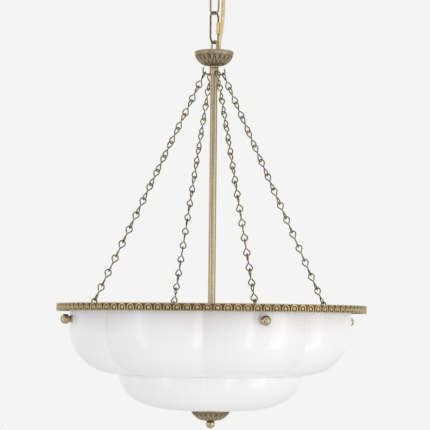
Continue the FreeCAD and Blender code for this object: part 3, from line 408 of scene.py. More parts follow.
def aged_brass(name):
    """Aged brass wire and sheet, with a cloudy patina."""
    aged = bpy.context.scene.chandelier_brass.aged
    return clouded(
        name, tones(aged, (0.30, 0.78), (0.52, 1.0), (0.72, 1.3)),
        cloud=(120.0, 4.0), grain=(1100.0, 2.0), share=0.75,
        roughness=(0.42, -0.16), depth=0.04 * MM, Metallic=0.95,
    )


def chain_brass(name):
    """Dark oiled brass wire, brighter in random clouds."""
    chain = bpy.context.scene.chandelier_brass.chain
    return clouded(
        name, tones(chain, (0.32, 0.4), (0.52, 1.0), (0.74, 1.7)),
        cloud=(240.0, 3.0), grain=(1300.0, 2.0), share=0.8,
        roughness=(0.32, -0.14), depth=0.03 * MM, Metallic=1.0,
    )


def turned_brass(name):
    """Turned and polished brass balls, faintly clouded."""
    polished = bpy.context.scene.chandelier_brass.polished
    return clouded(
        name, tones(polished, (0.3, 0.85), (0.7, 1.12)),
        cloud=(160.0, 2.0), roughness=(0.06, 0.06), depth=0.01 * MM,
        Metallic=1.0, Coat_Weight=0.25, Coat_Roughness=0.06,
    )


def bulb_glass(name):
    """Frosted bulb glass."""
    bulb = bpy.context.scene.chandelier_glass.bulb
    return clouded(
        name, tones(bulb, (0.3, 0.96), (0.7, 1.0)),
        cloud=(700.0, 2.0), roughness=(0.32, 0.1), depth=0.02 * MM,
    )


def flex_sheath(name):
    """Clear sheath over gold-coloured strands."""
    stops = [(0.3, (0.50, 0.34, 0.13)), (0.5, (0.74, 0.58, 0.29)), (0.7, (0.90, 0.77, 0.49))]
    return clouded(
        name, stops, cloud=(160.0, 2.0), grain=(420.0, 1.0, (1.0, 1.0, 0.12)), share=0.4,
        roughness=(0.34, -0.1), depth=0.08 * MM,
        Metallic=0.25, Coat_Weight=0.5, Coat_Roughness=0.1,
    )


# Plain finishes: colour, scale of the grain, roughness, metallic and depth of the grain
PLAIN_FINISHES = {
    "plated_steel": ((0.46, 0.45, 0.42), 800.0, 0.42, 1.0, 0.03 * MM),
    "white_plastic": ((0.72, 0.69, 0.61), 500.0, 0.42, 0.0, 0.03 * MM),
    "pressed_felt": ((0.66, 0.63, 0.56), 900.0, 0.95, 0.0, 0.2 * MM),
    "gasket_rubber": ((0.03, 0.03, 0.03), 600.0, 0.8, 0.0, 0.05 * MM),
    "pale_floor": ((0.9, 0.9, 0.89), 320.0, 0.9, 0.0, 0.1 * MM),
}


def plain_finish(name):
    """A plain finish with a fine grain in its colour, gloss and surface."""
    colour, scale, roughness, metallic, depth = PLAIN_FINISHES[name]
    return clouded(
        name, tones(colour, (0.25, 0.84), (0.75, 1.1)),
        cloud=(scale, 3.0), roughness=(roughness, -0.12), depth=depth, Metallic=metallic,
    )


FINISH_MAKERS = {
    "cast_brass": cast_brass,
    "rim_brass": lambda name: cast_brass(name, tint=(1.0, 0.96, 0.82)),
    "aged_brass": aged_brass,
    "chain_brass": chain_brass,
    "polished_brass": polished_brass,
    # The screw sleeve's brass, lifted lighter all over: a painted highlight
    "bright_brass": lambda name: polished_brass(name, lift=1.7),
    "turned_brass": turned_brass,
    "opal_glass": opal_glass,
    "bulb_glass": bulb_glass,
    "flex_sheath": flex_sheath,
    **dict.fromkeys(PLAIN_FINISHES, plain_finish),
}
finishes = {}


def finish_named(name):
    """A finish, made when it is first asked for."""
    if name not in finishes:
        finishes[name] = FINISH_MAKERS[name](name)
    return finishes[name]


# Mesh tools

WELD = 0.002 * MM


def object_from(name, mesh_edit, finish, sharp):
    """Turn a bmesh into an object with a finish, smooth up to a sharp angle in degrees."""
    bmesh.ops.remove_doubles(mesh_edit, verts=mesh_edit.verts, dist=WELD)
    bmesh.ops.recalc_face_normals(mesh_edit, faces=mesh_edit.faces)
    mesh = bpy.data.meshes.new(name)
    mesh_edit.to_mesh(mesh)
    mesh_edit.free()
    mesh.materials.append(finish_named(finish))
    mesh.shade_smooth()
    mesh.set_sharp_from_angle(angle=math.radians(sharp))
    piece = bpy.data.objects.new(name, mesh)
    bpy.context.scene.collection.objects.link(piece)
    return piece


def add_piece(name, mesh_edit, finish, node, body="pendant", sharp=38):
    """Add a piece of a body that stands for a CAD node."""
    piece = object_from(name, mesh_edit, finish, sharp)
    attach(piece, body)
    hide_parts(node)


def dress(finish, *nodes):
    """Give CAD nodes a finish."""
    for name in nodes:
        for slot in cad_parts[name].material_slots:
            slot.material = finish_named(finish)


def spin_profile(profile, steps, base=0.0, axis="Z"):
    """Turn a profile in millimetres about Z or X at a base height, and close it off the axis.

    About Z it lists radius and height, about X length and radius.
    """
    mesh_edit = bmesh.new()
    verts = [mesh_edit.verts.new((first * MM, 0, base + second * MM)) for first, second in profile]
    pairs = list(zip(verts, verts[1:]))
    radius = 0 if axis == "Z" else 1
    if profile[0][radius] or profile[-1][radius]:
        pairs.append((verts[-1], verts[0]))
    edges = [mesh_edit.edges.new(pair) for pair in pairs]
    direction = (0, 0, 1) if axis == "Z" else (1, 0, 0)
    bmesh.ops.spin(
        mesh_edit, geom=verts + edges, cent=(0, 0, base), axis=direction, angle=TURN,
        steps=steps, use_merge=True,
    )
    return mesh_edit


def round_points(centre, radius, start, end, steps):
    """Flat points of a circle, evenly spaced from one angle to another."""
    angles = [start + (end - start) * step / steps for step in range(steps + 1)]
    across, up = centre
    return [
        (across + radius * math.cos(angle), up + radius * math.sin(angle)) for angle in angles
    ]


def arc(start, end, radius, side, steps):
    """Points of the shorter arc between two points; side 1 has its centre on the left."""
    first = Vector(start)
    last = Vector(end)
    chord = last - first
    rise = math.sqrt(radius**2 - chord.length**2 / 4)
    centre = (first + last) / 2 + Vector((-chord.y, chord.x)).normalized() * rise * side
    begin = math.atan2(first.y - centre.y, first.x - centre.x)
    sweep = 2 * math.asin(chord.length / 2 / radius) * side
    return round_points(centre, radius, begin, begin + sweep, steps)


def polar(radius, angle, height):
    return Vector((radius * math.cos(angle), radius * math.sin(angle), height))


def in_plane(path, turn=0.0):
    """Stand a flat path of (across, up) in the upright plane at a turn from X."""
    return [polar(across, turn, up) for across, up in path]


def curve_mesh(points, radius, cyclic=False, detail=3, smooth=False):
    """The mesh of a curve through points: a round wire, or a bare line where it has no radius."""
    curve = bpy.data.curves.new("wire", "CURVE")
    curve.dimensions = "3D"
    curve.bevel_depth = radius
    curve.bevel_resolution = detail
    curve.use_fill_caps = not cyclic
    spline = curve.splines.new("NURBS" if smooth else "POLY")
    spline.points.add(len(points) - 1)
    for target, spot in zip(spline.points, points):
        target.co = (*spot, 1)
    spline.use_cyclic_u = cyclic
    if smooth:
        spline.order_u = 3
        spline.use_endpoint_u = True
    holder = bpy.data.objects.new("wire", curve)
    mesh = bpy.data.meshes.new_from_object(holder)
    bpy.data.objects.remove(holder)
    bpy.data.curves.remove(curve)
    return mesh


def add_mesh(mesh_edit, mesh):
    """Add a mesh to a bmesh, and drop the mesh."""
    mesh_edit.from_mesh(mesh)
    bpy.data.meshes.remove(mesh)


def add_wire(mesh_edit, points, radius, **settings):
    add_mesh(mesh_edit, curve_mesh(points, radius, **settings))


def spread(mesh_edit, part, matrices):
    """Add a copy of a small bmesh at each matrix."""
    mesh = bpy.data.meshes.new("part")
    part.to_mesh(mesh)
    part.free()
    for matrix in matrices:
        copy = mesh.copy()
        copy.transform(matrix)
        add_mesh(mesh_edit, copy)
    bpy.data.meshes.remove(mesh)


def turn_z(angle):
    return Matrix.Rotation(angle, 4, "Z")


def spread_round(mesh_edit, part, angles):
    """Add a copy of a small bmesh at each turn about the hanging axis."""
    spread(mesh_edit, part, [turn_z(angle) for angle in angles])


# Glass bowl, in millimetres from the rim's middle plane

LOBES = 8
HALF_LOBE = math.pi / LOBES
LOBE_SAMPLES = 44
CREASE_CROWDING = 0.7
GLASS_WALL = 4.5
BOWL_RADIUS = 232.0
LOBE_DEPTH = 14.5
CREASE_RADIUS = 3.5
LOWER_RADIUS = 149.0
LOWER_DEPTH = 1.5
TIER_LEDGE = 0.6
GLASS_TOP = 1.5
GLASS_EDGE = 1.2
WALL_HEIGHTS = (-2.0, -14.0, -27.0)
SHOULDER = -34.0
UPPER_FLOOR = -106.0
UPPER_FLAT = 154.0
TIER_BEND = ((1.6, 0.1), (0.5, 0.7), (0.0, 2.0))
LOWER_FLAT = 62.0
BOWL_FLOOR = -162.4
FLOOR_RADII = (44.0, 26.0, 12.0, 5.5)
OUTSIDE_STEPS = 18
INSIDE_STEPS = 12


def lobed(angle, radius, depth, crease):
    """Distance from the axis to an outline of round lobes that meet in rounded creases."""
    from_lobe = abs((angle + HALF_LOBE) % (2 * HALF_LOBE) - HALF_LOBE)
    from_crease = HALF_LOBE - from_lobe
    out = radius - depth + crease
    along = out * math.cos(HALF_LOBE)
    lobe = out**2 + radius**2 - 2 * radius * along - crease**2
    lobe /= 2 * (crease + radius - along)
    core = radius - lobe
    to_crease = Vector((along - core, out * math.sin(HALF_LOBE))).normalized() * lobe
    if from_lobe <= math.atan2(to_crease.y, core + to_crease.x):
        aside = core * math.sin(from_lobe)
        return core * math.cos(from_lobe) + math.sqrt(lobe**2 - aside**2)
    aside = out * math.sin(from_crease)
    return out * math.cos(from_crease) - math.sqrt(max(crease**2 - aside**2, 0))


def upper_outline(angle, radius, inset):
    scale = radius / BOWL_RADIUS
    outline = lobed(angle, radius, LOBE_DEPTH * scale, CREASE_RADIUS * scale)
    return max(outline, lower_outline(angle, LOWER_RADIUS - inset) + TIER_LEDGE)


def lower_outline(angle, radius):
    scale = radius / LOWER_RADIUS
    return lobed(angle, radius, LOWER_DEPTH * scale, CREASE_RADIUS * scale)


def quarter_ellipse(tier, radius, flat, top, bottom, steps):
    """Rings of a bowl's side that bends in to a flat."""
    return [
        (tier, flat + (radius - flat) * across, top - (top - bottom) * down)
        for across, down in round_points((0, 0), 1, 0, SQUARE, steps)[1:]
    ]


def bowl_rings(inset, steps):
    """Rings of one face of the glass from its edge to its hole: tier, radius and height."""
    radius = BOWL_RADIUS - inset
    floor = UPPER_FLOOR + inset
    low = LOWER_RADIUS - inset
    bottom = BOWL_FLOOR + inset
    bend = [("lower", low + out, floor - down) for out, down in TIER_BEND]
    return [
        *(("upper", radius, height) for height in (*WALL_HEIGHTS, SHOULDER)),
        *quarter_ellipse("upper", radius, UPPER_FLAT, SHOULDER, floor, steps),
        *bend,
        *quarter_ellipse("lower", low, LOWER_FLAT, bend[-1][2], bottom, steps),
        *(("round", size, bottom) for size in FLOOR_RADII),
    ]


def crease_angle(angle):
    """Crowd evenly spaced angles towards the creases."""
    middle = round(angle / (2 * HALF_LOBE)) * 2 * HALF_LOBE
    share = (angle - middle) / HALF_LOBE
    crowded = math.sin(share * SQUARE)
    return middle + HALF_LOBE * ((1 - CREASE_CROWDING) * share + CREASE_CROWDING * crowded)


def ring_spot(angle, ring, inset):
    tier, radius, height = ring
    if tier == "upper":
        radius = upper_outline(angle, radius, inset)
    elif tier == "lower":
        radius = lower_outline(angle, radius)
    return polar(radius * MM, angle, RING_Z + height * MM)


def extrude_ring(mesh_edit, edges, ring, inset):
    """Draw the last ring of edges on to the next ring of the glass."""
    drawn = bmesh.ops.extrude_edge_only(mesh_edit, edges=edges)["geom"]
    for item in drawn:
        if isinstance(item, bmesh.types.BMVert):
            item.co = ring_spot(math.atan2(item.co.y, item.co.x), ring, inset)
    return [item for item in drawn if isinstance(item, bmesh.types.BMEdge)]


class CHANDELIER_OT_glass_bowl(bpy.types.Operator):
    """Blow the lobed two-tier bowl of opal glass"""

    bl_idname = "chandelier.glass_bowl"
    bl_label = "Glass bowl"

    def execute(self, context):
        bowl = bmesh.new()
        bmesh.ops.create_circle(bowl, segments=LOBES * LOBE_SAMPLES, radius=1.0)
        start = ("upper", BOWL_RADIUS - GLASS_EDGE, GLASS_TOP)
        for vert in bowl.verts:
            vert.co = ring_spot(crease_angle(math.atan2(vert.co.y, vert.co.x)), start, 0)
        inner = BOWL_RADIUS - GLASS_WALL
        edge = GLASS_TOP - GLASS_EDGE
        outside = [("upper", BOWL_RADIUS, edge), *bowl_rings(0, OUTSIDE_STEPS)]
        inside = bowl_rings(GLASS_WALL, INSIDE_STEPS)[::-1]
        inside += [("upper", inner, edge), ("upper", inner + GLASS_EDGE, GLASS_TOP)]
        first = edges = list(bowl.edges)
        for rings, inset in ((outside, 0), (inside, GLASS_WALL)):
            for ring in rings:
                edges = extrude_ring(bowl, edges, ring, inset)
        bmesh.ops.bridge_loops(bowl, edges=first + edges)
        add_piece("glass_bowl_opal", bowl, "opal_glass", "glass_bowl", sharp=50)
        return {"FINISHED"}


# Cast ornament, in millimetres

LEAF_BACK = -0.4
RIM_WALL = 3.5
RIM_MARGIN = 0.35
RIM_ARCH = [(-5.0, -4.6), (-5.2, -1.2), (-4.5, 1.9), (-2.4, 3.7), (0, 4.3)]
RIM_ARCH_WIRE = 1.35
BEAD_RADIUS = 1.05
BEAD_UP = 5.0
BEADS_PER_MOTIF = 3


def set_relief(mesh_edit, measure):
    """Store how far each point stands out, from 0 in a hollow to 1 on a crest."""
    layers = mesh_edit.verts.layers.float
    layer = layers.get("relief") or layers.new("relief")
    for vert in mesh_edit.verts:
        vert[layer] = min(max(measure(vert.co), 0.0), 1.0)


def reach(spot):
    """Distance of a place from the hanging axis, in millimetres."""
    return math.hypot(spot.x, spot.y) / MM


def leaf_blank(mesh_edit, wide, tall, deep, pointed, around, along, rib=0.25, lift=0.0):
    """A flattened, closed leaf: X across, Y up, Z out, drawn to a point at its top."""
    made = bmesh.ops.create_uvsphere(mesh_edit, u_segments=around, v_segments=along, radius=1.0)
    for vert in made["verts"]:
        across, out, up = vert.co
        taper = 1.0 - pointed * (up * 0.5 + 0.5) ** 1.6
        raised = 1.0 + rib * math.exp(-((across * taper * 4) ** 2))
        vert.co = (across * wide * taper, lift + up * tall, max(out, LEAF_BACK) * deep * raised)


def rim_motif(relief):
    """One arched leaf, flat: X along the rim, Y up, Z out."""
    motif = bmesh.new()
    leaf_blank(
        motif, wide=3.5, tall=4.2, deep=relief * 1.15, pointed=0.4, around=12, along=6,
        rib=-0.45, lift=-0.7,
    )
    arch = RIM_ARCH + [(-along, up) for along, up in reversed(RIM_ARCH[:-1])]
    add_wire(motif, [(along, up, relief * 0.2) for along, up in arch], RIM_ARCH_WIRE, detail=1)
    return motif


class CHANDELIER_OT_rim(bpy.types.Operator):
    """Cast the ornamented rim band and finish its plate"""

    bl_idname = "chandelier.rim"
    bl_label = "Rim"

    def execute(self, context):
        sizes = context.scene.chandelier_ornament
        count = sizes.rim_motifs
        relief = sizes.rim_relief / MM
        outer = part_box("rim_band")[1].x / MM
        inner = outer - RIM_WALL
        field = outer - RIM_MARGIN - relief
        motif = rim_motif(relief)
        for vert in motif.verts:
            along, up, out = vert.co
            vert.co = polar((field + out) * MM, along / field, RING_Z + up * MM)
        set_relief(motif, lambda spot: (reach(spot) - field) / relief * 0.95)
        profile = [
            (inner, -6.0), (outer - 0.9, -6.0), (outer - 0.25, -5.75), (outer, -5.2),
            (outer - 0.2, -4.7), (field, -4.5), (field, 4.5), (outer - 0.3, 4.7),
            (outer - 0.1, 5.2), (outer - 0.35, 5.8), (outer - 1.0, 6.0), (inner, 6.0),
        ]
        band = spin_profile(profile, steps=2 * count, base=RING_Z)
        set_relief(band, lambda spot: (reach(spot) - field) / relief * 0.55)
        bead = bmesh.new()
        bmesh.ops.create_uvsphere(bead, u_segments=6, v_segments=5, radius=BEAD_RADIUS * MM)
        place = polar((outer - 1.1) * MM, 0, RING_Z + BEAD_UP * MM)
        bmesh.ops.translate(bead, verts=bead.verts, vec=place)
        set_relief(bead, lambda spot: 0.8 + (reach(spot) - outer + 1.0) * 0.25)
        spread_round(band, motif, turns(count))
        spread_round(band, bead, turns(BEADS_PER_MOTIF * count, 0.5))
        add_piece("rim_band_cast", band, "rim_brass", "rim_band", sharp=55)
        dress("aged_brass", "rim_plate")
        return {"FINISHED"}


CUP_FOOT = 8.6
CUP_WALL = 1.6
CUP_RIM_STEP = 0.8
# Height, height of the rim, radius of the side's bend and radius of the hole
CUPS = {"top_cup": (22.8, 5.8, 28.0, 4.6), "bottom_cup": (17.3, 2.0, 36.0, 5.6)}
# Rows of leaves: first and last share of the side, half width, depth, point and shift
CUP_ROWS = ((0.14, 0.74, 0.95, 1.0, 0.7, 0.0), (0.36, 0.98, 0.72, 0.8, 0.55, 0.5))


def cup_leaf(side, first, last, half_angle, relief, pointed):
    """A leaf that lies on a cup's side between two shares of its height."""
    leaf = bmesh.new()
    leaf_blank(leaf, wide=1.0, tall=1.0, deep=relief, pointed=pointed, around=8, along=8)
    last_index = len(side) - 1
    for vert in leaf.verts:
        across, along, out = vert.co
        share = first + (last - first) * (along * 0.5 + 0.5)
        place = min(max(share, 0.0), 1.0) * last_index
        index = min(int(place), last_index - 1)
        low = Vector(side[index])
        high = Vector(side[index + 1])
        normal = Vector((high.y - low.y, low.x - high.x)).normalized()
        spot = low.lerp(high, place - index) + normal * out
        vert.co = polar(spot.x, across * half_angle, spot.y)
    return leaf


def leaf_height(spot, side):
    """How far a point in millimetres stands off a cup's side."""
    flat = Vector((math.hypot(spot.x, spot.y), spot.z))
    height = 0.0
    nearest = math.inf
    for low, high in zip(side, side[1:]):
        run = Vector(high) - Vector(low)
        share = min(max((flat - Vector(low)).dot(run) / run.length_squared, 0.0), 1.0)
        offset = flat - (Vector(low) + run * share)
        if offset.length < nearest:
            nearest = offset.length
            height = offset.dot(Vector((run.y, -run.x)).normalized())
    return height


def add_cup(node):
    """A cast cup: a turned shell with two rows of leaves and a rounded rim."""
    height, rim, bend, hole = CUPS[node]
    low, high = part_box(node)
    radius = high.x / MM
    neck = radius - CUP_RIM_STEP
    inner = neck - CUP_WALL
    under_rim = height - rim
    side = arc((CUP_FOOT, 0), (neck, under_rim), bend, 1, 14)
    inside = arc((inner, under_rim), (CUP_FOOT, CUP_WALL), bend - CUP_WALL, -1, 8)
    lip = [
        (radius - 0.75, height - rim * 0.9), (radius - 0.3, height - rim * 0.65),
        (radius, height - rim * 0.4), (radius - 0.05, height - rim * 0.18),
        (radius - 0.35, height - rim * 0.05), (radius - 0.9, height),
        (inner + 0.2, height), (inner, height - 0.3),
    ]
    profile = [(hole, 0), *side, *lip, *inside, (hole, CUP_WALL)]
    shell = spin_profile(profile, steps=96, base=low.z)
    rim_start = low.z + (under_rim - 1.5) * MM
    set_relief(shell, lambda spot: 0.42 if spot.z > rim_start else 0.16)
    sizes = bpy.context.scene.chandelier_ornament
    count = sizes.cup_leaves
    for first, last, half_width, depth, pointed, shift in CUP_ROWS:
        deep = sizes.leaf_relief / MM * depth
        leaf = cup_leaf(side, first, last, half_width * math.pi / count, deep, pointed)
        set_relief(leaf, lambda spot: leaf_height(spot, side) / deep * 0.66)
        for vert in leaf.verts:
            vert.co = vert.co * MM + Vector((0, 0, low.z))
        spread_round(shell, leaf, turns(count, shift))
    add_piece(f"{node}_cast", shell, "cast_brass", node, sharp=50)


class CHANDELIER_OT_cups(bpy.types.Operator):
    """Cast the leafy top cup and bottom cup"""

    bl_idname = "chandelier.cups"
    bl_label = "Cups"

    def execute(self, context):
        for node in CUPS:
            add_cup(node)
        return {"FINISHED"}


# Rod, collar and hooks

ROD_RADIUS = 6.0
ROD_BORE = 4.5
ROD_EDGE = 0.4
STUD_BORE = 4.05
STUD_DEPTH = 18.0
COLLAR_PROFILE = [
    (6.06, 0.0), (7.6, 0.0), (8.1, 0.4), (8.2, 1.2), (8.1, 2.0), (7.65, 2.5), (7.45, 2.9),
    (7.6, 3.3), (7.6, 13.6), (7.4, 13.9), (7.4, 14.5), (7.6, 14.8), (7.6, 16.7), (7.3, 17.15),
    (6.06, 17.15),
]
HOOK_ROOT = 6.6 * MM
HOOK_REACH = 14.5 * MM
HOOK_BEND = 4.5 * MM
HOOK_WIRE = 2.2 * MM
HOOK_LEAN = math.radians(12)
HOOK_TIP = 5.0 * MM
HOOK_Z = COLLAR_Z + 7.6 * MM


class CHANDELIER_OT_rod(bpy.types.Operator):
    """Turn the centre rod with its hook collar, and bend the hooks"""

    bl_idname = "chandelier.rod"
    bl_label = "Rod and hooks"

    def execute(self, context):
        low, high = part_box("rod")
        top = (high.z - low.z) / MM
        profile = [
            (STUD_BORE, 0), (ROD_RADIUS - ROD_EDGE, 0), (ROD_RADIUS, ROD_EDGE),
            (ROD_RADIUS, top - ROD_EDGE), (ROD_RADIUS - ROD_EDGE, top), (ROD_BORE, top),
            (ROD_BORE, STUD_DEPTH), (STUD_BORE, STUD_DEPTH),
        ]
        for name, node, turned in (
            ("rod_tube", "rod", spin_profile(profile, 48, low.z)),
            ("hook_collar_turned", "hook_collar", spin_profile(COLLAR_PROFILE, 64, COLLAR_Z)),
        ):
            add_piece(name, turned, "polished_brass", node)
        self.add_hooks()
        return {"FINISHED"}

    def add_hooks(self):
        bend = round_points((HOOK_REACH, HOOK_Z), HOOK_BEND, -SQUARE, HOOK_LEAN, 12)
        path = in_plane([(HOOK_ROOT, HOOK_Z - HOOK_BEND), *bend])
        lean = Vector((-math.sin(HOOK_LEAN), 0, math.cos(HOOK_LEAN)))
        path.append(path[-1] + lean * HOOK_TIP)
        hook = bmesh.new()
        add_wire(hook, path, HOOK_WIRE / 2)
        tip = bmesh.ops.create_uvsphere(
            hook, u_segments=10, v_segments=6, radius=HOOK_WIRE * 0.56,
        )
        bmesh.ops.translate(hook, verts=tip["verts"], vec=path[-1] - lean * HOOK_WIRE * 0.48)
        hooks = bmesh.new()
        spread_round(hooks, hook, KNOB_TURNS)
        add_piece("chain_hooks_bent", hooks, "chain_brass", "chain_hooks", sharp=60)


# Jack chains

EYE_PLACE = 196.0 * MM
EYE_RADIUS = 4.0 * MM
EYE_WIRE = 2.2 * MM
EYE_Z = PLATE_Z + EYE_RADIUS + EYE_WIRE / 2
JACK_WIRE = 2.1 * MM
JACK_EYE = 4.95 * MM
JACK_GAP = 0.62 * MM
JACK_PITCH = 25.6 * MM
JACK_TWIST = SQUARE
JACK_NECK = 1.42 * JACK_EYE
JACK_CLOSE = 1.08 * MM
JACK_CROSSING = 1.5 * MM


def jack_path(half_length, steps):
    """The wire of a link of two drop-shaped eyes, the lower one square to the upper one."""
    leave = SQUARE - math.acos(JACK_EYE / JACK_NECK)
    neck = half_length - JACK_NECK
    eye = round_points((0, half_length), JACK_EYE, math.pi + leave, -leave, steps)
    flat = [(-JACK_CLOSE, neck), *eye, (JACK_CLOSE, neck), (0, neck - JACK_CROSSING)]
    upper = in_plane(flat)
    lower = [Vector((spot.y, spot.x, -spot.z)) for spot in reversed(upper)]
    return upper + lower


def link_places():
    """Half the straight length of a jack link, and the places of the links of one chain."""
    hook = Vector((HOOK_REACH, 0, HOOK_Z))
    line = Vector((EYE_PLACE, 0, EYE_Z)) - hook
    first = HOOK_BEND - HOOK_WIRE / 2 - JACK_WIRE / 2 - JACK_GAP
    last = line.length - (EYE_RADIUS - EYE_WIRE / 2) + JACK_WIRE / 2 + JACK_GAP
    run = last - first - JACK_WIRE - JACK_GAP
    count = round(run / JACK_PITCH)
    pitch = run / count
    length = pitch + JACK_WIRE + JACK_GAP
    along = line.normalized()
    across = Vector((0, 1, 0))
    upright = Matrix((across, across.cross(along), -along)).transposed().to_4x4()
    places = []
    for index in range(count):
        middle = hook + along * (first + length / 2 + pitch * index)
        twist = turn_z(JACK_TWIST * index / (count - 1))
        places.append(Matrix.Translation(middle) @ upright @ twist)
    return length / 2 + 0.35 * JACK_GAP - JACK_EYE, places


class CHANDELIER_OT_jack_chains(bpy.types.Operator):
    """Bend the links of the four jack chains and the eye bolts at the rim"""

    bl_idname = "chandelier.jack_chains"
    bl_label = "Jack chains"

    def execute(self, context):
        half_length, places = link_places()
        path = jack_path(half_length, 14)
        for node, turn in zip(numbered("jack_chain"), KNOB_TURNS):
            link = bmesh.new()
            add_wire(link, path, JACK_WIRE / 2, detail=2)
            chain = bmesh.new()
            spread(chain, link, [turn_z(turn) @ place for place in places])
            add_piece(f"{node}_links", chain, "chain_brass", node, sharp=60)
        self.add_bolts()
        return {"FINISHED"}

    def add_bolts(self):
        bolt = bmesh.new()
        ring = round_points((EYE_PLACE, EYE_Z), EYE_RADIUS, 0, TURN, 24)[:-1]
        add_wire(bolt, in_plane(ring), EYE_WIRE / 2, cyclic=True)
        foot = (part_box("eye_bolts")[0].z - PLATE_Z) / MM
        profile = [
            (0, foot), (1.2, foot), (1.5, foot + 0.3), (1.5, 0), (2.7, 0), (2.7, 0.5), (1.4, 1.2),
            (0, 1.2),
        ]
        stem = spin_profile(profile, steps=20, base=PLATE_Z)
        spread(bolt, stem, [Matrix.Translation((EYE_PLACE, 0, 0))])
        bolts = bmesh.new()
        spread_round(bolts, bolt, KNOB_TURNS)
        add_piece("eye_bolts_turned", bolts, "chain_brass", "eye_bolts", sharp=50)


# Hanging chain

LOOP_WIRE = 3.5 * MM
LOOP_HALF = 5.75 * MM
CANOPY_BOSS_TALL = 10.0
CANOPY_BOSS = [
    (0, 0), (6.6, 0), (7.6, 0.5), (8.0, 1.6), (8.0, 6.6), (7.5, 7.0), (7.5, 7.6), (8.0, 8.0),
    (8.0, CANOPY_BOSS_TALL), (5.05, CANOPY_BOSS_TALL), (5.05, 1.9), (0, 1.9),
]
CUP_BOSS_TALL = 8.0
CUP_BOSS = [
    (4.45, 0), (8.5, 0), (8.5, 1.2), (12.0, 1.2), (12.5, 1.8), (12.5, 7.0), (12.2, 7.7),
    (11.5, CUP_BOSS_TALL), (0, CUP_BOSS_TALL),
]
LINK_WIRE = 3.2 * MM
LINK_HALF = 9.15 * MM
LINK_SLIT = 0.5 * MM
LINK_GAP = 3.8 * MM
SLEEVE_GRIP = 2.8 * MM
SLEEVE_RADIUS = 3.5
SLEEVE_BORE = 1.66


class CHANDELIER_OT_hanging_chain(bpy.types.Operator):
    """Bend the two loops and two long links, and turn the lower link's screw sleeve"""

    bl_idname = "chandelier.hanging_chain"
    bl_label = "Hanging chain"

    def execute(self, context):
        low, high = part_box("canopy_loop")
        base = high.z - CANOPY_BOSS_TALL * MM
        path = self.loop_path(low.z + LOOP_WIRE / 2, base + 0.9 * MM, -1)
        wire = in_plane(path, CHAIN_TURN)
        self.add_loop("canopy_loop", wire, CANOPY_BOSS, base, "aged_brass", "ceiling")
        low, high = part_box("cup_loop")
        base = TOP_CUP_Z + CUP_WALL * MM
        path = self.loop_path(high.z - LOOP_WIRE / 2, base + (CUP_BOSS_TALL - 4.0) * MM, 1)
        wire = in_plane(path, CHAIN_TURN + SQUARE)
        foot = (low.z - base) / MM
        boss = [(0, foot), (4.3, foot), (4.45, foot + 0.3), *CUP_BOSS]
        self.add_loop("cup_loop", wire, boss, base, "polished_brass", "pendant")
        slit = middle_z("chain_link_upper")
        self.add_link("upper", "aged_brass", CHAIN_TURN - SQUARE, slit, LINK_SLIT)
        sleeve_low, sleeve_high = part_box("link_sleeve")
        opening = sleeve_low.z + SLEEVE_GRIP
        self.add_link("lower", "chain_brass", CHAIN_TURN, opening, LINK_GAP)
        self.add_sleeve(sleeve_low.z, sleeve_high.z)
        return {"FINISHED"}

    def loop_path(self, bar, root, rise):
        """The wire of a loop along one leg, round the bend and back along the other."""
        bend = round_points((0, bar - LOOP_HALF * rise), LOOP_HALF, 0, math.pi * rise, 20)
        return [(LOOP_HALF, root), *bend, (-LOOP_HALF, root)]

    def add_loop(self, node, wire, boss, base, finish, body):
        loop = spin_profile(boss, steps=56, base=base)
        add_wire(loop, wire, LOOP_WIRE / 2, detail=4)
        add_piece(f"{node}_bent", loop, finish, node, body)

    def add_link(self, place, finish, turn, opening, gap):
        """A long link of wire from one side of its opening round to the other."""
        node = f"chain_link_{place}"
        low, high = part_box(node)
        end = LINK_WIRE / 2 + LINK_HALF
        path = [
            (LINK_HALF, opening + gap),
            *round_points((0, high.z - end), LINK_HALF, 0, math.pi, 16),
            *round_points((0, low.z + end), LINK_HALF, math.pi, TURN, 16),
            (LINK_HALF, opening),
        ]
        link = bmesh.new()
        add_wire(link, in_plane(path, turn), LINK_WIRE / 2, detail=4)
        add_piece(f"{place}_link_bent", link, finish, node, f"{place}_link")

    def add_sleeve(self, low, high):
        top = (high - low) / MM
        outer = SLEEVE_RADIUS
        grooves = []
        for up in (2.6, top - 3.2):
            grooves += [(outer, up), (outer - 0.35, up + 0.25), (outer, up + 0.6)]
        profile = [
            (SLEEVE_BORE, 0), (outer - 0.7, 0), (outer - 0.2, 0.25), (outer, 0.7), *grooves,
            (outer, top - 0.7), (outer - 0.2, top - 0.25), (outer - 0.7, top), (SLEEVE_BORE, top),
        ]
        sleeve = spin_profile(profile, steps=40, base=low)
        leg = polar(LINK_HALF, CHAIN_TURN, 0)
        bmesh.ops.translate(sleeve, verts=sleeve.verts, vec=leg)
        node = body = "link_sleeve"
        # Its brass is lifted lighter all over: a painted highlight
        add_piece(f"{node}_turned", sleeve, "bright_brass", node, body)


# Flex: its route is that of the part's source, sideways from the chain, backwards and up

FLEX_SIDE = math.radians(-18)
FLEX_ROUTE = [
    (14.2, 0.0, -60.0),
    (14.7, 0.4, -80.0),
    (14.2, 1.2, -106.0),
    (13.4, 1.0, -130.0),
    (12.3, 0.8, -147.0),
    (9.4, 0.8, -159.0),
    (7.5, 1.5, -174.5),
    (7.2, 1.8, -193.4),
]
FLEX_DIAMETER = 6.3 * MM
FLEX_CUTS = (-103.5 * MM, -147.0 * MM)
FLEX_BODIES = ("ceiling", "upper_link", "lower_link", "pendant")


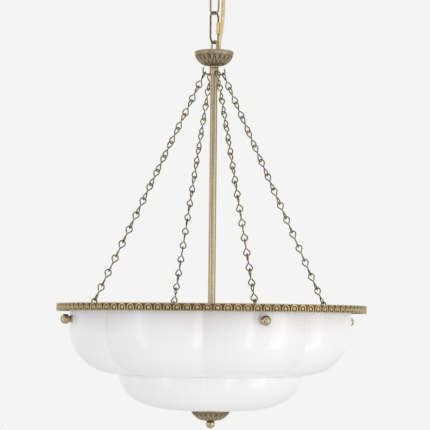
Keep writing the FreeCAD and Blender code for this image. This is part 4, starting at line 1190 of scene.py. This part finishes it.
class CHANDELIER_OT_flex(bpy.types.Operator):
    """Hang the flex beside the chain, in lengths that bend with the links, and fit its bushes"""

    bl_idname = "chandelier.flex"
    bl_label = "Flex"

    def execute(self, context):
        route = [
            polar(side * MM, FLEX_SIDE, up * MM) + polar(back * MM, FLEX_SIDE + SQUARE, 0)
            for side, back, up in FLEX_ROUTE
        ]
        line = curve_mesh(route, 0.0, smooth=True)
        spots = [vert.co.copy() for vert in line.vertices]
        bpy.data.meshes.remove(line)
        places = range(len(spots))
        ends = [min(places, key=lambda place: abs(spots[place].z - cut)) for cut in FLEX_CUTS]
        ends = [0, *ends, places[-1]]
        for index in range(len(ends) - 1):
            path = spots[ends[index]:ends[index + 1] + 1]
            self.add_length(index, path, FLEX_BODIES[index], FLEX_BODIES[index + 1])
        dress("white_plastic", "canopy_cord_bush", "cup_cord_bush")
        return {"FINISHED"}

    def add_length(self, index, path, before, after):
        length_edit = bmesh.new()
        add_wire(length_edit, path, FLEX_DIAMETER / 2, detail=5)
        piece = object_from(f"flex_length_{index + 1}", length_edit, "flex_sheath", sharp=60)
        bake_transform(piece, before, after, start=path[0], end=path[-1])
        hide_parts("hanging_cord")


# Canopy

CANOPY_WALL = 1.2
CANOPY_RIM = 55.0
CANOPY_FLAT = 23.0
CANOPY_BEND = 60.0
CANOPY_RIM_LOW = -4.0
CANOPY_HOLE = 5.1


class CHANDELIER_OT_canopy(bpy.types.Operator):
    """Spin the ceiling canopy, and finish what it covers"""

    bl_idname = "chandelier.canopy"
    bl_label = "Canopy"

    def execute(self, context):
        rim = CANOPY_RIM
        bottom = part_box("canopy")[0].z / MM
        inner = rim - CANOPY_WALL
        floor = bottom + CANOPY_WALL
        side = arc((rim, CANOPY_RIM_LOW), (CANOPY_FLAT, bottom), CANOPY_BEND, -1, 24)
        inside = arc(
            (CANOPY_FLAT - CANOPY_WALL, floor), (inner, CANOPY_RIM_LOW),
            CANOPY_BEND - CANOPY_WALL, 1, 18,
        )
        bead = [
            (inner, 0.0), (rim - 0.3, 0.0), (rim, -0.4), (rim - 0.1, -1.0), (rim - 0.5, -1.4),
            (rim - 0.5, -1.8), (rim - 0.1, -2.3), (rim, -3.0),
        ]
        foot = [
            (CANOPY_FLAT - 0.8, bottom), (10.5, bottom), (10.0, bottom), (CANOPY_HOLE, bottom),
            (CANOPY_HOLE, floor),
        ]
        shell = spin_profile(bead + side + foot + inside, steps=96)
        add_piece("canopy_spun", shell, "aged_brass", "canopy", "ceiling")
        dress("plated_steel", "ceiling_bracket", "canopy_nipple", "canopy_nuts")
        dress("white_plastic", "terminal_block")
        return {"FINISHED"}


# Knobs and finial

KNOB_BALL = 8.0
KNOB_BORE = 1.83
FINIAL_BALL = 7.4
FINIAL_BORE = 4.06
FINIAL_DEPTH = 4.1


class CHANDELIER_OT_knobs(bpy.types.Operator):
    """Turn the ball knobs and the finial ball"""

    bl_idname = "chandelier.knobs"
    bl_label = "Knobs and finial"

    def execute(self, context):
        low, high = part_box("knob_ball_1")
        base = low.x / MM
        centre = high.x / MM - KNOB_BALL
        neck = [
            (centre + 1.3, 0.0), (centre + 1.3, KNOB_BORE), (base, KNOB_BORE), (base, 4.7),
            (base + 0.3, 5.0), (base + 0.9, 5.0), (base + 1.2, 4.7), (base + 1.5, 4.2),
        ]
        start = math.acos((base + 2.0 - centre) / KNOB_BALL)
        side = round_points((centre, 0), KNOB_BALL, start, 0, 18)[:-1]
        profile = neck + side + [(centre + KNOB_BALL, 0.0)]
        for node, body, turn in zip(numbered("knob_ball"), numbered("knob"), KNOB_TURNS):
            knob = spin_profile(profile, steps=48, base=middle_z("knob_ball_1"), axis="X")
            bmesh.ops.rotate(knob, verts=knob.verts, cent=(0, 0, 0), matrix=turn_z(turn).to_3x3())
            add_piece(f"{node}_turned", knob, "turned_brass", node, body)
        self.add_finial()
        dress("plated_steel", "finial_stud", *numbered("knob_stud"))
        return {"FINISHED"}

    def add_finial(self):
        low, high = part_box("finial_ball")
        middle = low.z / MM + FINIAL_BALL
        top = high.z / MM - middle
        start = math.asin(top / FINIAL_BALL)
        side = round_points((0, middle), FINIAL_BALL, start, -SQUARE, 24)[:-1]
        floor = middle - FINIAL_DEPTH
        hollow = [(0, floor), (FINIAL_BORE, floor), (FINIAL_BORE, middle + top)]
        ball = spin_profile(hollow + side + [(0, middle - FINIAL_BALL)], steps=48)
        node = "finial_ball"
        add_piece(f"{node}_turned", ball, "turned_brass", node, "finial")


# Lamps and hidden fittings

BULB_MOUTH = 76.0
BULB_LONG = 78.0
BULB_GLOBE = 30.0
BULB_NECK = 13.6
BULB_THROAT = 22.5
BULB_FLARE = 60.0


class CHANDELIER_OT_lamps(bpy.types.Operator):
    """Blow the bulbs, and finish the lampholders and the hub"""

    bl_idname = "chandelier.lamps"
    bl_label = "Lamps"

    def execute(self, context):
        tip = BULB_MOUTH + BULB_LONG
        middle = tip - BULB_GLOBE
        throat = (middle - BULB_THROAT, math.sqrt(BULB_GLOBE**2 - BULB_THROAT**2))
        cap = [(BULB_MOUTH, 0.0), (BULB_MOUTH, BULB_NECK - 0.4), (BULB_MOUTH + 0.5, BULB_NECK)]
        flare = arc((BULB_MOUTH + 6.0, BULB_NECK), throat, BULB_FLARE, 1, 8)
        start = math.acos(-BULB_THROAT / BULB_GLOBE)
        dome = round_points((middle, 0), BULB_GLOBE, start, 0, 20)[1:-1]
        profile = cap + flare + dome + [(tip, 0.0)]
        bulb = spin_profile(profile, steps=48, base=middle_z("lamp_hub"), axis="X")
        bulbs = bmesh.new()
        spread_round(bulbs, bulb, LAMP_TURNS)
        add_piece("bulb_globes_blown", bulbs, "bulb_glass", "bulb_globes")
        dress("plated_steel", "bulb_caps")
        dress("aged_brass", "lamp_hub", "lamp_hub_lid")
        dress("white_plastic", *numbered("lampholder"))
        return {"FINISHED"}


class CHANDELIER_OT_fittings(bpy.types.Operator):
    """Finish the brackets, washers and nuts that hold the glass"""

    bl_idname = "chandelier.fittings"
    bl_label = "Fittings"

    def execute(self, context):
        dress("plated_steel", "bracket_rivets", "eye_bolt_nuts", "bottom_washer")
        dress("plated_steel", *numbered("glass_bracket"))
        dress("pressed_felt", "inner_felt_washers", "outer_felt_washers")
        dress("gasket_rubber", "bottom_gasket")
        dress("flex_sheath", "rod_cable")
        return {"FINISHED"}


# Stage, in metres

LAMP_Z = -1.35
LAMP_TALL = 3.2
# Soft lamps: name, place, width, power and colour
SOFT_LAMPS = (
    ("key_softbox", (2.18, -2.06, LAMP_Z), 1.2, 18.5, (1.0, 0.985, 0.96)),
    ("left_softbox", (-2.9, -0.6, LAMP_Z), 0.7, 10.0, (0.97, 0.985, 1.0)),
    ("front_strip", (0.11, -3.0, LAMP_Z), 0.4, 9.0, (1.0, 0.99, 0.98)),
)
FLOOR_HALF = 9.0
FLOOR_DROP = 2.4
SENSOR_WIDTH = 36.0
CLIP_START = 0.05
BACKDROP_RAYS = ("Is Camera Ray", "Is Glossy Ray", "Is Transmission Ray")


class CHANDELIER_OT_stage(bpy.types.Operator):
    """Set up the floor, the light, the pale background and the camera"""

    bl_idname = "chandelier.stage"
    bl_label = "Stage"

    def execute(self, context):
        settings = context.scene.chandelier_stage
        context.scene.view_settings.view_transform = "Standard"
        self.add_floor()
        self.light_world(settings)
        for lamp in SOFT_LAMPS:
            self.add_lamp(*lamp)
        self.add_camera(settings)
        return {"FINISHED"}

    def add_floor(self):
        floor_edit = bmesh.new()
        bmesh.ops.create_grid(floor_edit, x_segments=1, y_segments=1, size=FLOOR_HALF)
        down = (0, 0, CAD_BOX[0][2] - FLOOR_DROP)
        bmesh.ops.translate(floor_edit, verts=floor_edit.verts, vec=down)
        floor = object_from("floor", floor_edit, "pale_floor", sharp=38)

    def light_world(self, settings):
        """An even light, and one pale backdrop for the camera, the metal and the glass."""
        world = bpy.data.worlds.new("studio")
        studio = Shading(world)
        studio.tree.nodes.clear()
        shown = 0.0
        for ray in BACKDROP_RAYS:
            seen = studio.node("ShaderNodeLightPath", output=ray)
            shown = studio.node("ShaderNodeMath", {"operation": "MAXIMUM"}, {0: shown, 1: seen})
        ambient, backdrop = (
            studio.node("ShaderNodeBackground", None, {"Color": (*colour, 1)})
            for colour in (settings.ambient, settings.backdrop)
        )
        light = studio.node("ShaderNodeMixShader", None, {0: shown, 1: ambient, 2: backdrop})
        studio.node("ShaderNodeOutputWorld", None, {"Surface": light}, None)
        bpy.context.scene.world = world

    def add_lamp(self, name, place, wide, power, colour):
        """A soft lamp that faces the middle of the rim."""
        light = bpy.data.lights.new(name, "AREA")
        light.shape = "RECTANGLE"
        light.size = wide
        light.size_y = LAMP_TALL
        light.energy = power
        light.color = colour
        lamp = bpy.data.objects.new(name, light)
        lamp.location = place
        aim = Vector((0, 0, RING_Z)) - Vector(place)
        lamp.rotation_euler = aim.to_track_quat("-Z", "Y").to_euler()
        bpy.context.scene.collection.objects.link(lamp)

    def add_camera(self, settings):
        camera = bpy.data.cameras.new("camera")
        camera.lens = settings.lens
        camera.sensor_width = SENSOR_WIDTH
        camera.clip_start = CLIP_START
        holder = bpy.data.objects.new("camera", camera)
        bpy.context.scene.collection.objects.link(holder)
        back = Vector((math.sin(settings.azimuth), -math.cos(settings.azimuth), 0))
        place = back * settings.distance + Vector((0, 0, RING_Z - settings.drop))
        turn = turn_z(settings.azimuth + settings.yaw)
        tilt = Matrix.Rotation(SQUARE + settings.pitch, 4, "X")
        holder.matrix_world = Matrix.Translation(place) @ turn @ tilt @ turn_z(settings.roll)
        bpy.context.scene.camera = holder


GROUPS = (
    ("chandelier_brass", BrassFinish),
    ("chandelier_glass", GlassFinish),
    ("chandelier_ornament", OrnamentSizes),
    ("chandelier_stage", StageSettings),
)
OPERATORS = (
    CHANDELIER_OT_stage,
    CHANDELIER_OT_canopy,
    CHANDELIER_OT_hanging_chain,
    CHANDELIER_OT_flex,
    CHANDELIER_OT_cups,
    CHANDELIER_OT_rod,
    CHANDELIER_OT_jack_chains,
    CHANDELIER_OT_rim,
    CHANDELIER_OT_glass_bowl,
    CHANDELIER_OT_knobs,
    CHANDELIER_OT_lamps,
    CHANDELIER_OT_fittings,
)


class CHANDELIER_PT_sidebar(bpy.types.Panel):
    """Lists the chandelier's settings and pieces"""

    bl_idname = "CHANDELIER_PT_sidebar"
    bl_label = "Bowl chandelier"
    bl_space_type = "VIEW_3D"
    bl_region_type = "UI"
    bl_category = "Chandelier"

    def draw(self, context):
        for name, group in GROUPS:
            box = self.layout.box()
            for prop in group.__annotations__:
                box.prop(getattr(context.scene, name), prop)
        for operator in OPERATORS:
            self.layout.operator(operator.bl_idname)


CLASSES = tuple(group for name, group in GROUPS) + OPERATORS + (CHANDELIER_PT_sidebar,)


def register():
    for item in CLASSES:
        bpy.utils.register_class(item)
    for name, group in GROUPS:
        setattr(bpy.types.Scene, name, PointerProperty(type=group))


def unregister():
    for name, group in GROUPS:
        delattr(bpy.types.Scene, name)
    for item in reversed(CLASSES):
        bpy.utils.unregister_class(item)


def main():
    register()
    for operator in OPERATORS:
        category, name = operator.bl_idname.split(".")
        getattr(getattr(bpy.ops, category), name)()


if __name__ == "__main__":
    main()
